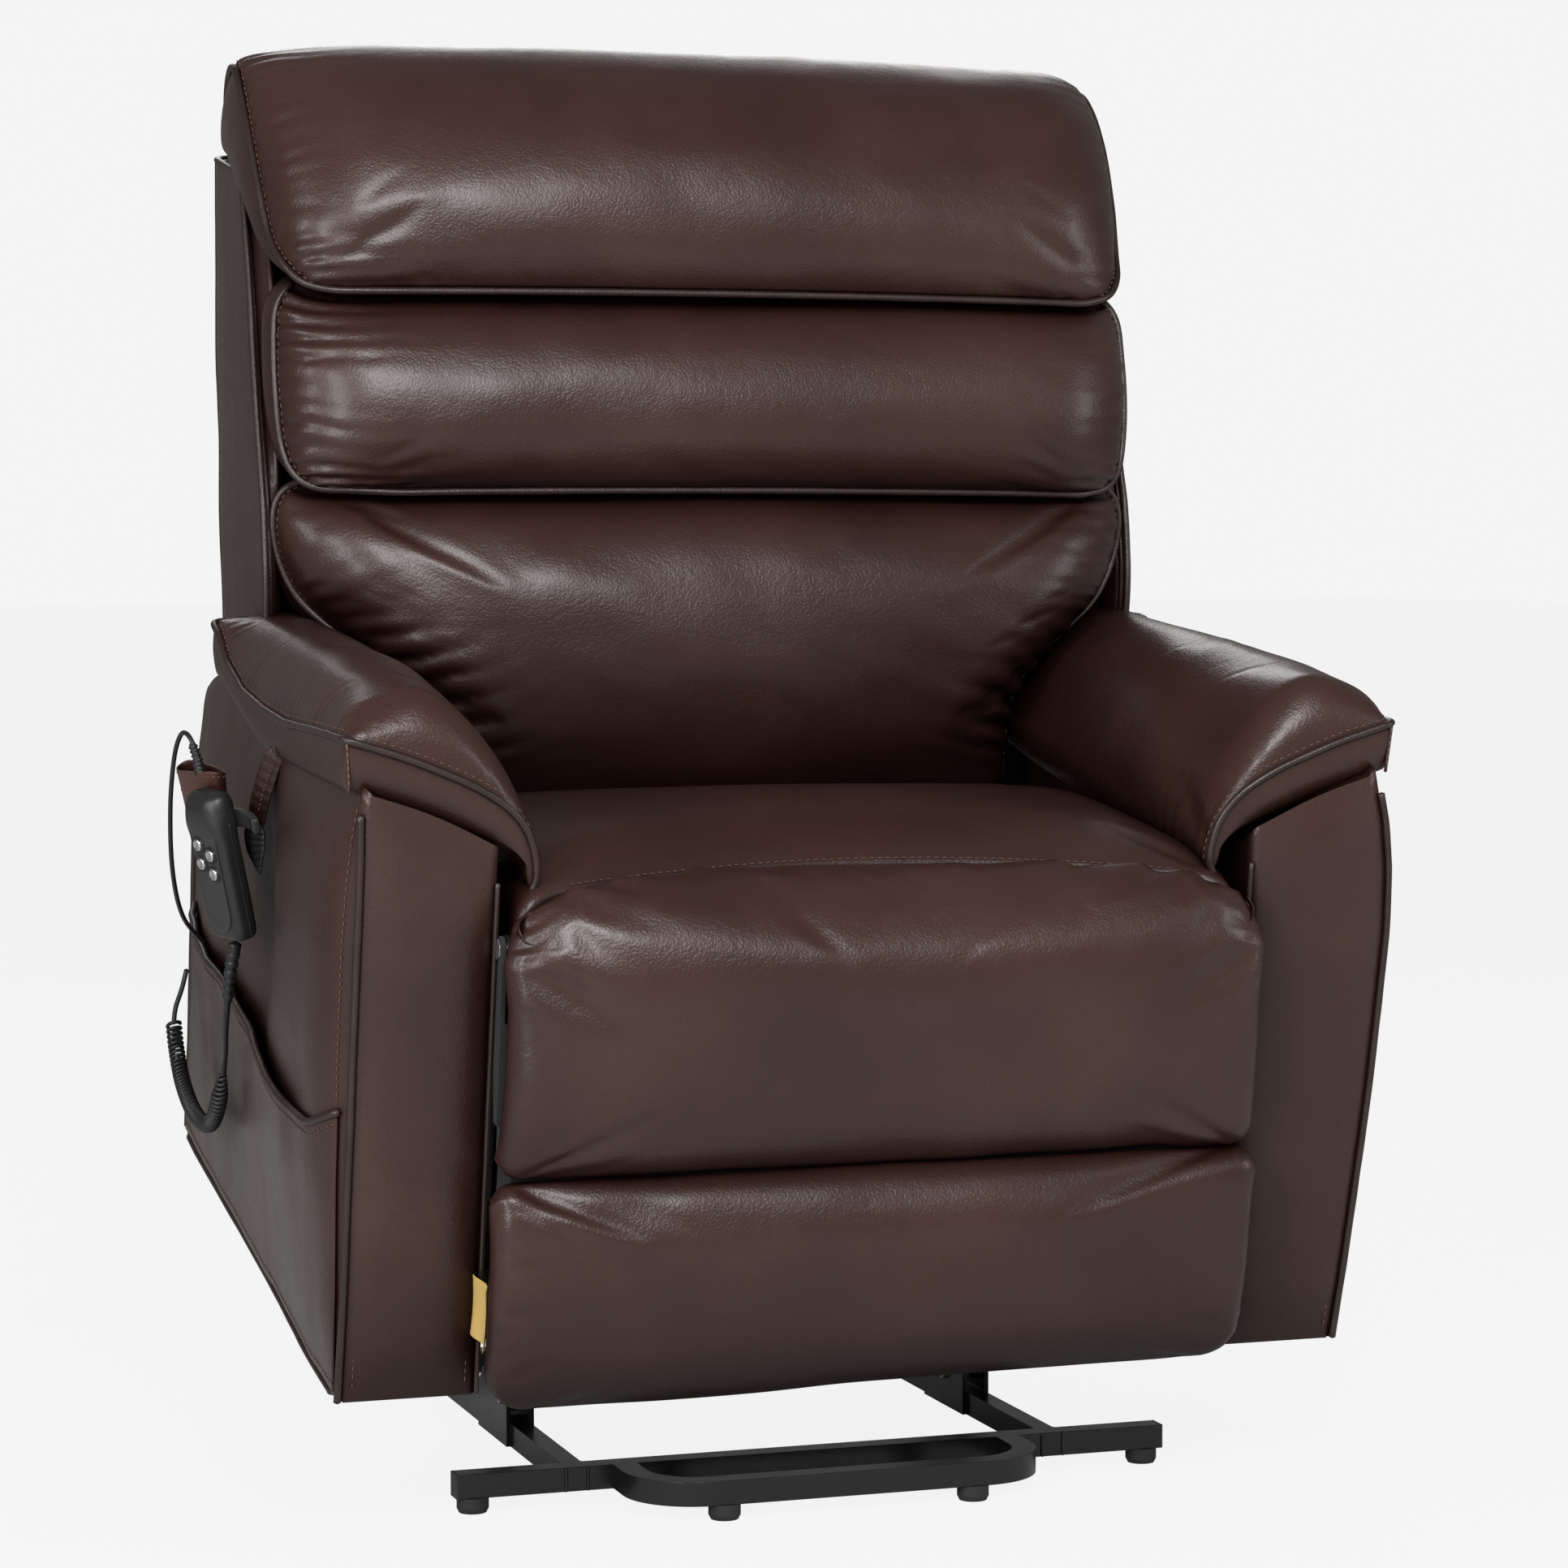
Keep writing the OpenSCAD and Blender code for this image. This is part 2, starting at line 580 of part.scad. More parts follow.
// ---- fittings on the -X arm, the sitter's right ----
module side_pocket() color(leather) lifted() yz_plate([-arm_out - 8, -arm_out - 0.5],
  [[10, 6], [726, 6], [748, 120], [766, 236], [520, 240], [250, 238], [95, 231],
    [45, 236], [10, 262]]);
// frame of the hanging handset: foot of the case, leaning out at the top, its -X key
// face turned forward
module handset() lifted()
  translate([-511, 308, 316]) rotate([0, -12.7, 0]) rotate([0, 0, 23.7]) children();
// [y, z] of the keys: head up, head down, feet up, feet down
key_places = [[9, 92], [-8, 84], [9, 74], [-8, 66]];
key_r = 6.2;
key_hole_r = key_r + 0.4;
module handset_case() color("#3a3b3b") handset() difference() {
  union() {
    linear_extrude(112)
      polygon([[0, -23], [4, -27], [21, -27], [24, -23], [24, 23], [21, 27], [4, 27], [0, 23]]);
    ybar([12, -27, 112], 54, 12);
    ybar([13, -25, 122], 50, 17);
  }
  box([-1, 2], span(20), [10, 102]);
  for (p = key_places) xbar(p, key_hole_r, [-1, 7]);
  translate([12, 0, -1]) cylinder(h = 8, r = 4.1);
}
module handset_keypad() color("#4b4c4b") handset() difference() {
  box([0.8, 1.9], span(19.8), [10.2, 101.8]);
  for (p = key_places) xbar(p, key_hole_r, [0, 4]);
}
module key(i) color("#8d8f90") handset()
  translate([-2.2, key_places[i][0], key_places[i][1]]) rotate([0, 90, 0]) {
    cylinder(h = 1.2, r1 = 4.6, r2 = key_r);
    translate([0, 0, 1.2]) cylinder(h = 6, r = key_r);
  }
module button_head_up() key(0);
module button_head_down() key(1);
module button_feet_up() key(2);
module button_feet_down() key(3);
module handset_clip() color("#2a2b2b") handset() {
  box([24.1, 27.1], [-20, -8], [94, 108]);
  box([24.1, 27.1], [-40, -19], [97, 108]);
  box([21, 27.1], [-48, -39.8], [96, 110]);
}
// wedge with an open slot in its top, outlines [x, z]
module handset_pouch() color("#5a3327") handset()
  translate([0, -4, 0]) rotate([-90, 0, 0]) mirror([0, 1, 0]) linear_extrude(58) difference() {
    polygon([[24.6, 6], [27, 6], [43, 140], [41, 150], [33.6, 150]]);
    polygon([[28.2, 30], [39.5, 138], [38.5, 151], [35.4, 151]]);
  }
module handset_strap() color(leather) lifted() translate([-arm_out, 0, 0]) {
  box([-5.5, -2.9], [282, 300], [440, 488]);
  box([-9.5, -6.5], [286, 302], [432, 488]);
  box([-10, -3], [284, 302], [396, 432]);
}
module handset_cable() color(cable_black) lifted() {
  cable([[-500.4, 312.4, 311.5], [-503, 315, 296], [-505, 320, 280], [-507, 340, 235],
    [-504, 366, 204], [-501, 384, 188]], 3.4);
  cable([[-501.2, 313, 309], [-505, 320, 281]], 5.6);
}
// [y, z]
coil_path = [[398, 166], [412, 138], [446, 106], [492, 90], [548, 88], [600, 98],
  [636, 120], [652, 142]];
module coil_cord() color(cable_black) lifted()
  cable([for (p = coil_path) [-499, p[0], p[1]]], 8.5);
module charging_lead() color(cable_black) lifted() {
  cable([[-531, 344, 476], [-533, 348, 486], [-537, 356, 496], [-542, 372, 492],
    [-545, 388, 464], [-545, 402, 412], [-538, 420, 350], [-522, 456, 300],
    [-495, 510, 270]], 2.2);
  cable([[-530.4, 343, 473], [-533, 348, 487]], 4.6);
}
module fabric_tag() color("#c9a24a") lifted() box([-347.6, -346.9], [-14, -2], [46, 98]);

base_frame();
anti_tip_loop();
base_end_caps();
rubber_feet();
lift_base_pins();
lift_links();
lift_cross_tube();
lift_guide_links();
chassis_side_plates();
chassis_cross_tubes();
chassis_pivot_pins();
power_supply();
rear_apron();
arm_frame_left();
arm_frame_right();
arm_cover_left();
arm_cover_right();
arm_pad_left();
arm_pad_right();
arm_glides();
lift_actuator_motor();
lift_actuator_rod();
seat_links_front();
seat_links_rear();
seat_side_plates();
seat_cross_tubes();
seat_deck_rails();
seat_springs();
seat_pivot_pins();
seat_cushion();
recline_actuator_motor();
recline_actuator_rod();
back_brackets();
back_frame();
back_cover();
lower_pillow();
middle_pillow();
head_pillow();
flap_board();
flap_pad();
footrest_board();
footrest_pad();
crease_hinge_pins();
footrest_links_lower();
footrest_links_upper();
side_pocket();
handset_pouch();
handset_strap();
handset_clip();
handset_case();
handset_keypad();
button_head_up();
button_head_down();
button_feet_up();
button_feet_down();
handset_cable();
coil_cord();
charging_lead();
fabric_tag();
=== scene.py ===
# A lift recliner in dark leather, with a corded handset hung on its left arm.
# Forms are modelled in the chair frame, in mm: x to the right as seen from the front, y to the
# rear and z up, with y = 0 near the arm fronts. The chair frame is tipped forward by TILT into
# the row frame (m), which the CAD pieces use. Points are mm in the chair frame unless noted.
import math

import bpy
import bmesh
import numpy as np
from mathutils import Matrix, Vector


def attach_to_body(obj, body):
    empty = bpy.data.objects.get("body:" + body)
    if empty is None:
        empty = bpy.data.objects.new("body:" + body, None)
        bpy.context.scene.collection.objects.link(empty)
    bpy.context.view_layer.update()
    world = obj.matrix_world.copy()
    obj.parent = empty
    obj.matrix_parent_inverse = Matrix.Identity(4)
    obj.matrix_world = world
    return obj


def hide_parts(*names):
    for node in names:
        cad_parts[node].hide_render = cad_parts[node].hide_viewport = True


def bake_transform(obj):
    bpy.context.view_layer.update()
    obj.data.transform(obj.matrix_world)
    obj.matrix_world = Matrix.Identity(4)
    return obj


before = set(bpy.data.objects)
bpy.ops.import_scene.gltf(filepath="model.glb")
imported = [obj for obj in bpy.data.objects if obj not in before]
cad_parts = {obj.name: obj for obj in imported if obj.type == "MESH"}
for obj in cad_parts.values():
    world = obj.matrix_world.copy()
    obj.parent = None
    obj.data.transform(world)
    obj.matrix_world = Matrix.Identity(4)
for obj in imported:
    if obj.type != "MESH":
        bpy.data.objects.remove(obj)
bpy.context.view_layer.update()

scene = bpy.context.scene

LEFT, RIGHT = -1, 1
TAGS = {LEFT: "left", RIGHT: "right"}

# ------------------------------------------------------------------ frames
TILT = math.radians(10.865)
COS_TILT, SIN_TILT = math.cos(TILT), math.sin(TILT)
SETBACK, RAISE = 387.0, 129.4              # chair origin: forward of and above the row origin

HANDSET_LEAN = math.radians(-12.7)         # about y
HANDSET_TURN = math.radians(23.7)          # about z, applied first
HANDSET_PLACE = (-518.0, 310.0, 325.0)     # handset origin in the chair frame


def to_row(points):
    """chair frame, mm -> row frame, m"""
    x, y, z = np.asarray(points, float).reshape(-1, 3).T
    row_y = y * COS_TILT - z * SIN_TILT - SETBACK
    row_z = y * SIN_TILT + z * COS_TILT + RAISE
    return np.c_[x, row_y, row_z] / 1000.0


def from_row(points):
    """row frame, m -> chair frame, mm"""
    x, y, z = (np.asarray(points, float).reshape(-1, 3) * 1000.0).T
    y = y + SETBACK
    z = z - RAISE
    return np.c_[x, y * COS_TILT + z * SIN_TILT, -y * SIN_TILT + z * COS_TILT]


def from_handset(points):
    """handset frame, mm -> chair frame, mm"""
    x, y, z = np.asarray(points, float).reshape(-1, 3).T
    cos_turn, sin_turn = math.cos(HANDSET_TURN), math.sin(HANDSET_TURN)
    cos_lean, sin_lean = math.cos(HANDSET_LEAN), math.sin(HANDSET_LEAN)
    turned_x = x * cos_turn - y * sin_turn
    turned_y = x * sin_turn + y * cos_turn
    leaned = np.c_[turned_x * cos_lean + z * sin_lean, turned_y,
                   -turned_x * sin_lean + z * cos_lean]
    return leaned + np.array(HANDSET_PLACE)


# ------------------------------------------------------------------ curves and noise
def ease(start, end, x):
    """smooth step from 0 at start to 1 at end"""
    t = np.clip((np.asarray(x, float) - start) / (end - start), 0, 1)
    return t * t * (3 - 2 * t)


def quarter(depth, radius):
    """height 0..1 of a quarter circle that rises from a seam, at a depth inside it"""
    t = np.clip(np.asarray(depth, float) / radius, 0, 1)
    return np.sqrt(np.clip(1 - (1 - t) ** 2, 0, 1))


def lookup(x, stations):
    """linear interpolation in a table of (position, value)"""
    return np.interp(x, *zip(*stations))


def along(points, close=False):
    """distance of each point from the first, along the line"""
    return np.r_[0, np.cumsum(np.linalg.norm(np.diff(points, axis=0), axis=1))]


def sample(points, distances, wanted):
    """points of a line at the wanted distances"""
    return np.stack([np.interp(wanted, distances, column) for column in points.T], -1)


def curve(points, count):
    """count points evenly spaced along a Catmull-Rom curve"""
    knots = np.asarray(points, float)
    knots = np.vstack([2 * knots[0] - knots[1], knots, 2 * knots[-1] - knots[-2]])
    fine = []
    t = np.linspace(0, 1, 24, endpoint=False)[:, None]
    for a, b, c, d in zip(knots, knots[1:], knots[2:], knots[3:]):
        fine.append(0.5 * (2 * b + (c - a) * t + (2 * a - 5 * b + 4 * c - d) * t ** 2
                           + (3 * b - a - 3 * c + d) * t ** 3))
    fine = np.vstack(fine + [knots[-2][None]])
    distances = along(fine)
    return sample(fine, distances, np.linspace(0, distances[-1], count))


lattices = {}


def noise(x, y, seed):
    """smooth value noise, -1..1, on a lattice of pitch 1"""
    if seed not in lattices:
        lattices[seed] = np.random.RandomState(1000 + seed).uniform(-1, 1, (64, 64))
    lattice = lattices[seed]
    x, y = np.broadcast_arrays(np.asarray(x, float), np.asarray(y, float))
    column, row = np.floor(x).astype(int), np.floor(y).astype(int)
    fx, fy = x - column, y - row
    fx, fy = fx * fx * (3 - 2 * fx), fy * fy * (3 - 2 * fy)

    def corner(i, j):
        return lattice[(column + i) % 64, (row + j) % 64]

    near = corner(0, 0) * (1 - fx) + corner(1, 0) * fx
    far = corner(0, 1) * (1 - fx) + corner(1, 1) * fx
    return near * (1 - fy) + far * fy


def folds(s, depth, spacing, seed):
    """rounded folds with sharp valleys between them, about -1..1, spaced along s"""
    phase = (s / spacing + 0.55 * noise(s / (2.6 * spacing), 0.4, seed + 3)
             + 0.20 * noise(s / (1.5 * spacing), depth / 42.0, seed + 6))
    return 2.0 * np.abs(np.cos(math.pi * phase)) ** 0.85 - 1.15


def pucker(s, depth, spacing, reach, height, seed, soft=4.0):
    """folds that run away from a seam: s along it, depth in from it"""
    gate = np.clip(0.62 + 0.85 * noise(s / (2.1 * spacing), 3.3, seed + 1), 0.0, 1.25)
    length = reach * (0.72 + 0.5 * noise(s / (1.4 * spacing), 7.7, seed + 2))
    fade = np.exp(-(np.maximum(depth, 0) / length) ** 1.5) * (1 - np.exp(-((depth / soft) ** 2)))
    return 0.36 * height * gate * folds(s, depth, spacing, seed) * fade


# ------------------------------------------------------------------ materials
def tint(color, gain, lift=0.0):
    """a color times gain (one number, or one per channel) plus lift"""
    return tuple(min(1.0, c * g + lift) for c, g in zip(color, np.broadcast_to(gain, 3)))


class Shader:
    """A material with one Principled node, and helpers that add nodes ahead of it"""

    def __init__(self, name):
        self.material = bpy.data.materials.new(name)
        self.material.use_nodes = True
        self.tree = self.material.node_tree
        self.tree.nodes.clear()
        self.output = self.node("ShaderNodeOutputMaterial")
        self.principled = self.node("ShaderNodeBsdfPrincipled")
        self.feed(self.output.inputs[0], self.principled.outputs[0])
        self.place = self.node("ShaderNodeTexCoord").outputs["Object"]
        self.material["tt"] = 1            # custom property that every material carries

    def feed(self, socket, value):
        """links an output to the socket, or sets its value"""
        if isinstance(value, bpy.types.NodeSocket):
            self.tree.links.new(value, socket)
        elif socket.type == "RGBA":
            socket.default_value = (*value, 1)
        else:
            socket.default_value = value

    def node(self, kind, **values):
        """adds a node: capitalised names are its inputs, the others its settings"""
        node = self.tree.nodes.new(kind)
        for key, value in values.items():
            if key[0].isupper():
                self.feed(node.inputs[key], value)
            else:
                setattr(node, key, value)
        return node

    def surface(self, **values):
        """sets inputs of the Principled node and returns the material"""
        for key, value in values.items():
            self.feed(self.principled.inputs[key.replace("_", " ")], value)
        return self.material

    def noise(self, scale, detail=2.0, rough=0.5, place=None):
        return self.node("ShaderNodeTexNoise", Scale=scale, Detail=detail, Roughness=rough,
                         Vector=place or self.place).outputs["Fac"]

    def voronoi(self, scale, feature="F1"):
        return self.node("ShaderNodeTexVoronoi", feature=feature, Scale=scale,
                         Vector=self.place).outputs["Distance"]

    def wave(self, scale, distortion, direction="X"):
        return self.node("ShaderNodeTexWave", wave_type="BANDS", bands_direction=direction,
                         Scale=scale, Distortion=distortion, Vector=self.place).outputs[1]

    def stretched(self, scale):
        return self.node("ShaderNodeMapping", Scale=scale, Vector=self.place).outputs[0]

    def ramp(self, factor, *stops):
        """color ramp of (position, color) stops"""
        node = self.node("ShaderNodeValToRGB")
        elements = node.color_ramp.elements
        while len(elements) < len(stops):
            elements.new(0.5)
        for element, (position, color) in zip(elements, stops):
            element.position = position
            element.color = (*color, 1)
        self.feed(node.inputs[0], factor)
        return node.outputs[0]

    def remap(self, value, to, span=(0.0, 1.0)):
        """maps the input range span onto the output range to"""
        node = self.node("ShaderNodeMapRange")
        for socket, item in zip(node.inputs, (value, *span, *to)):
            self.feed(socket, item)
        return node.outputs[0]

    def math(self, operation, a, b):
        node = self.node("ShaderNodeMath", operation=operation)
        self.feed(node.inputs[0], a)
        self.feed(node.inputs[1], b)
        return node.outputs[0]

    def mix(self, factor, a, b):
        node = self.node("ShaderNodeMix", data_type="RGBA")
        for index, value in ((0, factor), (6, a), (7, b)):
            self.feed(node.inputs[index], value)
        return node.outputs[2]

    def bump(self, height, distance, strength, normal=None):
        node = self.node("ShaderNodeBump", Strength=strength, Distance=distance, Height=height)
        if normal is not None:
            self.feed(node.inputs["Normal"], normal)
        return node.outputs[0]

    def bevel(self, radius):
        return self.node("ShaderNodeBevel", samples=4, Radius=radius).outputs[0]

    def pointiness(self):
        return self.node("ShaderNodeNewGeometry").outputs["Pointiness"]


def leather(name, dark, middle, light, rough):
    shader = Shader(name)
    patches = shader.noise(scale=5.0, detail=3.0, rough=0.55)
    mottle = shader.noise(scale=34.0, detail=3.0, rough=0.6)
    cells = shader.voronoi(scale=470.0, feature="SMOOTH_F1")
    pores = shader.voronoi(scale=900.0)
    wrinkles = shader.noise(scale=120.0, detail=4.0, rough=0.65)
    color = shader.ramp(patches, (0.28, dark), (0.52, middle), (0.78, light))
    # darker with the cells of the grain, lighter on the high places
    grain = shader.remap(cells, to=(0.0, 0.22), span=(0.25, 0.75))
    color = shader.mix(grain, color, tint(dark, gain=(0.55, 0.5, 0.5)))
    wear = shader.remap(shader.pointiness(), to=(0.0, 0.16), span=(0.53, 0.62))
    color = shader.mix(wear, color, tint(light, gain=(1.5, 1.35, 1.3)))
    # painted shade: ambient occlusion darkens the colour in hollows, creases and between parts,
    # and takes away their gloss
    hollow = shader.node("ShaderNodeAmbientOcclusion", samples=4, Distance=0.30).outputs["AO"]
    unshaded_share = shader.remap(hollow, to=(0.06, 1.0), span=(0.28, 0.90))
    color = shader.mix(unshaded_share, tint(dark, gain=(0.22, 0.18, 0.18)), color)
    roughness = shader.math("ADD", shader.remap(mottle, to=(rough - 0.06, rough + 0.07)),
                            shader.remap(cells, to=(-0.03, 0.05)))
    height = shader.math("ADD", shader.math("MULTIPLY", cells, -1.0),
                         shader.math("MULTIPLY", wrinkles, 0.9))
    height = shader.math("ADD", height, shader.math("MULTIPLY", pores, 0.18))
    soft = shader.bump(mottle, distance=0.0022, strength=0.26)
    return shader.surface(
        Base_Color=color, Roughness=roughness,
        Normal=shader.bump(height, distance=0.00055, strength=0.55, normal=soft),
        # painted shade: coat and specular are turned down where ambient occlusion finds the
        # surface shut in
        Coat_Weight=shader.remap(hollow, to=(0.0, 0.17), span=(0.25, 0.75)),
        Coat_Roughness=0.25,
        Specular_IOR_Level=shader.remap(hollow, to=(0.05, 0.37), span=(0.26, 0.84)))


def piping_leather():
    shader = Shader("leather_piping")
    color = shader.ramp(shader.noise(scale=26.0, detail=3.0),
                        (0.3, (0.014, 0.006, 0.005)), (0.7, (0.026, 0.0115, 0.0095)))
    height = shader.math("ADD", shader.voronoi(scale=520.0, feature="SMOOTH_F1"),
                         shader.noise(scale=240.0, detail=3.0))
    return shader.surface(
        Base_Color=color, Roughness=shader.remap(shader.noise(scale=60.0), to=(0.34, 0.48)),
        Normal=shader.bump(height, distance=0.0004, strength=0.5),
        Coat_Weight=0.05, Coat_Roughness=0.22)


def sewing_thread():
    shader = Shader("thread")
    twist = shader.wave(scale=900.0, distortion=2.0)
    color = shader.mix(shader.noise(scale=400.0), (0.105, 0.055, 0.038), (0.16, 0.09, 0.065))
    return shader.surface(Base_Color=color, Roughness=0.7,
                          Normal=shader.bump(twist, distance=0.0002, strength=0.6))


def paint(name, color, rough, metallic=0.0, bevel=0.0012):
    shader = Shader(name)
    peel = shader.noise(scale=420.0, detail=2.0, rough=0.5)
    dust = shader.noise(scale=9.0, detail=4.0, rough=0.6)
    specks = shader.noise(scale=70.0, detail=5.0, rough=0.7)
    dusty = shader.mix(shader.remap(dust, to=(0.0, 0.075), span=(0.45, 0.75)),
                       color, tint(color, gain=1.7, lift=0.01))
    edges = shader.remap(shader.pointiness(), to=(0.0, 0.12), span=(0.58, 0.72))
    worn = shader.mix(edges, dusty, tint(color, gain=2.4, lift=0.02))
    return shader.surface(
        Base_Color=worn, Metallic=metallic,
        Roughness=shader.remap(specks, to=(rough - 0.06, rough + 0.10)),
        Normal=shader.bump(peel, distance=0.00025, strength=0.35, normal=shader.bevel(bevel)))


def metal(name, color, rough, bevel=0.0008, scratch_scale=60.0):
    shader = Shader(name)
    scratches = shader.noise(scale=scratch_scale, detail=5.0, rough=0.75,
                             place=shader.stretched((1, 1, 9)))
    fine = shader.noise(scale=900.0)
    scratched = shader.mix(shader.remap(scratches, to=(0.0, 0.6), span=(0.35, 0.75)),
                           color, tint(color, gain=0.72))
    return shader.surface(
        Base_Color=scratched, Metallic=1.0,
        Roughness=shader.remap(scratches, to=(rough - 0.05, rough + 0.14)),
        Normal=shader.bump(fine, distance=0.0001, strength=0.3, normal=shader.bevel(bevel)))


def plastic(name, color, rough, grain_scale=900.0, bevel=0.001, strength=0.4):
    shader = Shader(name)
    grain = shader.noise(scale=grain_scale, detail=3.0, rough=0.6)
    patches = shader.noise(scale=14.0, detail=3.0)
    varied = shader.mix(shader.remap(patches, to=(0.0, 0.5), span=(0.4, 0.7)),
                        color, tint(color, gain=1.35, lift=0.003))
    return shader.surface(
        Base_Color=varied, Roughness=shader.remap(grain, to=(rough - 0.05, rough + 0.07)),
        Normal=shader.bump(grain, distance=0.0002, strength=strength,
                           normal=shader.bevel(bevel)))


def wood():
    shader = Shader("hardwood")
    grain = shader.noise(scale=9.0, detail=6.0, rough=0.7, place=shader.stretched((1, 14, 14)))
    color = shader.ramp(grain, (0.3, (0.30, 0.17, 0.085)), (0.5, (0.47, 0.30, 0.16)),
                        (0.72, (0.60, 0.42, 0.25)))
    return shader.surface(
        Base_Color=color, Roughness=shader.remap(grain, to=(0.5, 0.72)),
        Normal=shader.bump(grain, distance=0.0006, strength=0.5, normal=shader.bevel(0.001)))


def cloth(name, color, other):
    shader = Shader(name)
    weave = shader.math("MULTIPLY", shader.wave(scale=420.0, distortion=1.2, direction="X"),
                        shader.wave(scale=420.0, distortion=1.2, direction="Z"))
    base = shader.mix(shader.noise(scale=30.0, detail=4.0), color, other)
    woven = shader.mix(shader.remap(weave, to=(0, 0.6)), base, tint(color, gain=0.5))
    return shader.surface(Base_Color=woven, Roughness=0.85, Sheen_Weight=0.04,
                          Normal=shader.bump(weave, distance=0.0004, strength=0.6))


LEATHER = leather("leather_dark_brown", dark=(0.027, 0.0100, 0.0075),
                  middle=(0.038, 0.0155, 0.0118), light=(0.052, 0.0235, 0.0178), rough=0.37)
LEATHER_RED = leather("leather_red_brown", dark=(0.050, 0.018, 0.011),
                      middle=(0.075, 0.028, 0.018), light=(0.10, 0.042, 0.028), rough=0.40)
# painted shade: a darker copy of the brown leather, for the lining behind the pillows that lies in
# shade
LEATHER_SHADED_COPY = leather("leather_painted_shade", dark=(0.012, 0.006, 0.005),
                         middle=(0.018, 0.009, 0.008), light=(0.024, 0.012, 0.010), rough=0.6)
PIPING = piping_leather()
THREAD = sewing_thread()
BLACK_PAINT = paint("gloss_black_paint", color=(0.0045, 0.0045, 0.005), rough=0.22)
MECHANISM = paint("mechanism_steel", color=(0.012, 0.012, 0.013), rough=0.40, metallic=0.35)
ZINC = metal("zinc_bolts", color=(0.60, 0.60, 0.58), rough=0.34)
CHROME = metal("ground_rod", color=(0.74, 0.74, 0.74), rough=0.16)
PLASTIC = plastic("black_plastic", color=(0.016, 0.016, 0.017), rough=0.46)
ACTUATOR = plastic("actuator_plastic", color=(0.022, 0.022, 0.024), rough=0.50)
RUBBER = plastic("black_rubber", color=(0.012, 0.012, 0.012), rough=0.72,
                 grain_scale=500.0, bevel=0.0025, strength=0.6)
CORD = plastic("cord_rubber", color=(0.010, 0.010, 0.010), rough=0.38,
               grain_scale=700.0, bevel=0.0004, strength=0.3)
CASE = plastic("handset_case", color=(0.010, 0.0105, 0.010), rough=0.40,
               grain_scale=1100.0, bevel=0.0006)
INSET = plastic("handset_inset", color=(0.020, 0.0205, 0.0195), rough=0.36,
                grain_scale=1400.0, bevel=0.0005)
CASE_DARK = plastic("handset_back", color=(0.007, 0.007, 0.0075), rough=0.34,
                    grain_scale=1100.0, bevel=0.0008)
KEY_SILVER = metal("key_silver", color=(0.62, 0.63, 0.65), rough=0.22,
                   bevel=0.0004, scratch_scale=200.0)
WOOD = wood()
LINING = cloth("dust_cover", color=(0.012, 0.012, 0.012), other=(0.02, 0.02, 0.02))
TAG_FABRIC = cloth("tag_fabric", color=(0.60, 0.40, 0.11), other=(0.70, 0.49, 0.16))
WELD = paint("weld_bead", color=(0.014, 0.014, 0.015), rough=0.34, metallic=0.2, bevel=0.0006)

# CAD pieces of each material; any other piece is black plastic
CAD_PIECES = (
    (BLACK_PAINT, "base_frame anti_tip_loop lift_links lift_cross_tube lift_guide_links"),
    (RUBBER, "rubber_feet arm_glides"),
    (ZINC, "lift_base_pins chassis_pivot_pins seat_springs seat_pivot_pins crease_hinge_pins"),
    (MECHANISM, "chassis_side_plates chassis_cross_tubes seat_links_front seat_links_rear "
                "seat_side_plates seat_cross_tubes back_brackets footrest_links_lower "
                "footrest_links_upper"),
    (WOOD, "arm_frame_left arm_frame_right seat_deck_rails back_frame"),
    (ACTUATOR, "lift_actuator_motor recline_actuator_motor"),
    (CHROME, "lift_actuator_rod recline_actuator_rod"),
    (LINING, "flap_board footrest_board"),
)


def paint_cad():
    chosen = {piece: material for material, names in CAD_PIECES for piece in names.split()}
    for name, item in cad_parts.items():
        item.data.materials.clear()
        item.data.materials.append(chosen.get(name, PLASTIC))


# ------------------------------------------------------------------ mesh tools
def recalculate_normals(mesh, merge=None):
    bm = bmesh.new()
    bm.from_mesh(mesh)
    if merge:
        bmesh.ops.remove_doubles(bm, verts=bm.verts, dist=merge)
    bmesh.ops.recalc_face_normals(bm, faces=bm.faces)
    bm.to_mesh(mesh)
    bm.free()


def mesh_object(name, vertices, faces, material):
    mesh = bpy.data.meshes.new(name)
    faces = [list(map(int, face)) for face in faces]
    mesh.from_pydata(to_row(vertices).tolist(), [], faces)
    mesh.validate()
    recalculate_normals(mesh)
    mesh.polygons.foreach_set("use_smooth", [True] * len(mesh.polygons))
    mesh.materials.append(material)
    mesh.update()
    item = bpy.data.objects.new(name, mesh)
    scene.collection.objects.link(item)
    return item


def read_points(item):
    """vertex places in the row frame, m"""
    flat = np.empty(len(item.data.vertices) * 3)
    item.data.vertices.foreach_get("co", flat)
    return flat.reshape(-1, 3)


def write_points(item, points):
    item.data.vertices.foreach_set("co", points.reshape(-1))
    item.data.update()


def subdivide(item):
    modifier = item.modifiers.new("Subdivision", "SUBSURF")
    modifier.levels = modifier.render_levels = 1


def attach(items, body):
    for item in items:
        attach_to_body(item, body)


def cover(item, node, body):
    """puts an object in the place of a CAD piece"""
    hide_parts(node)
    attach([item], body)


def grid_faces(rows, columns, start=0, flip=False):
    faces = []
    for i in range(rows):
        for j in range(columns):
            a = start + i * (columns + 1) + j
            d = a + columns + 1
            faces.append((a, d, d + 1, a + 1) if flip else (a, a + 1, d + 1, d))
    return faces


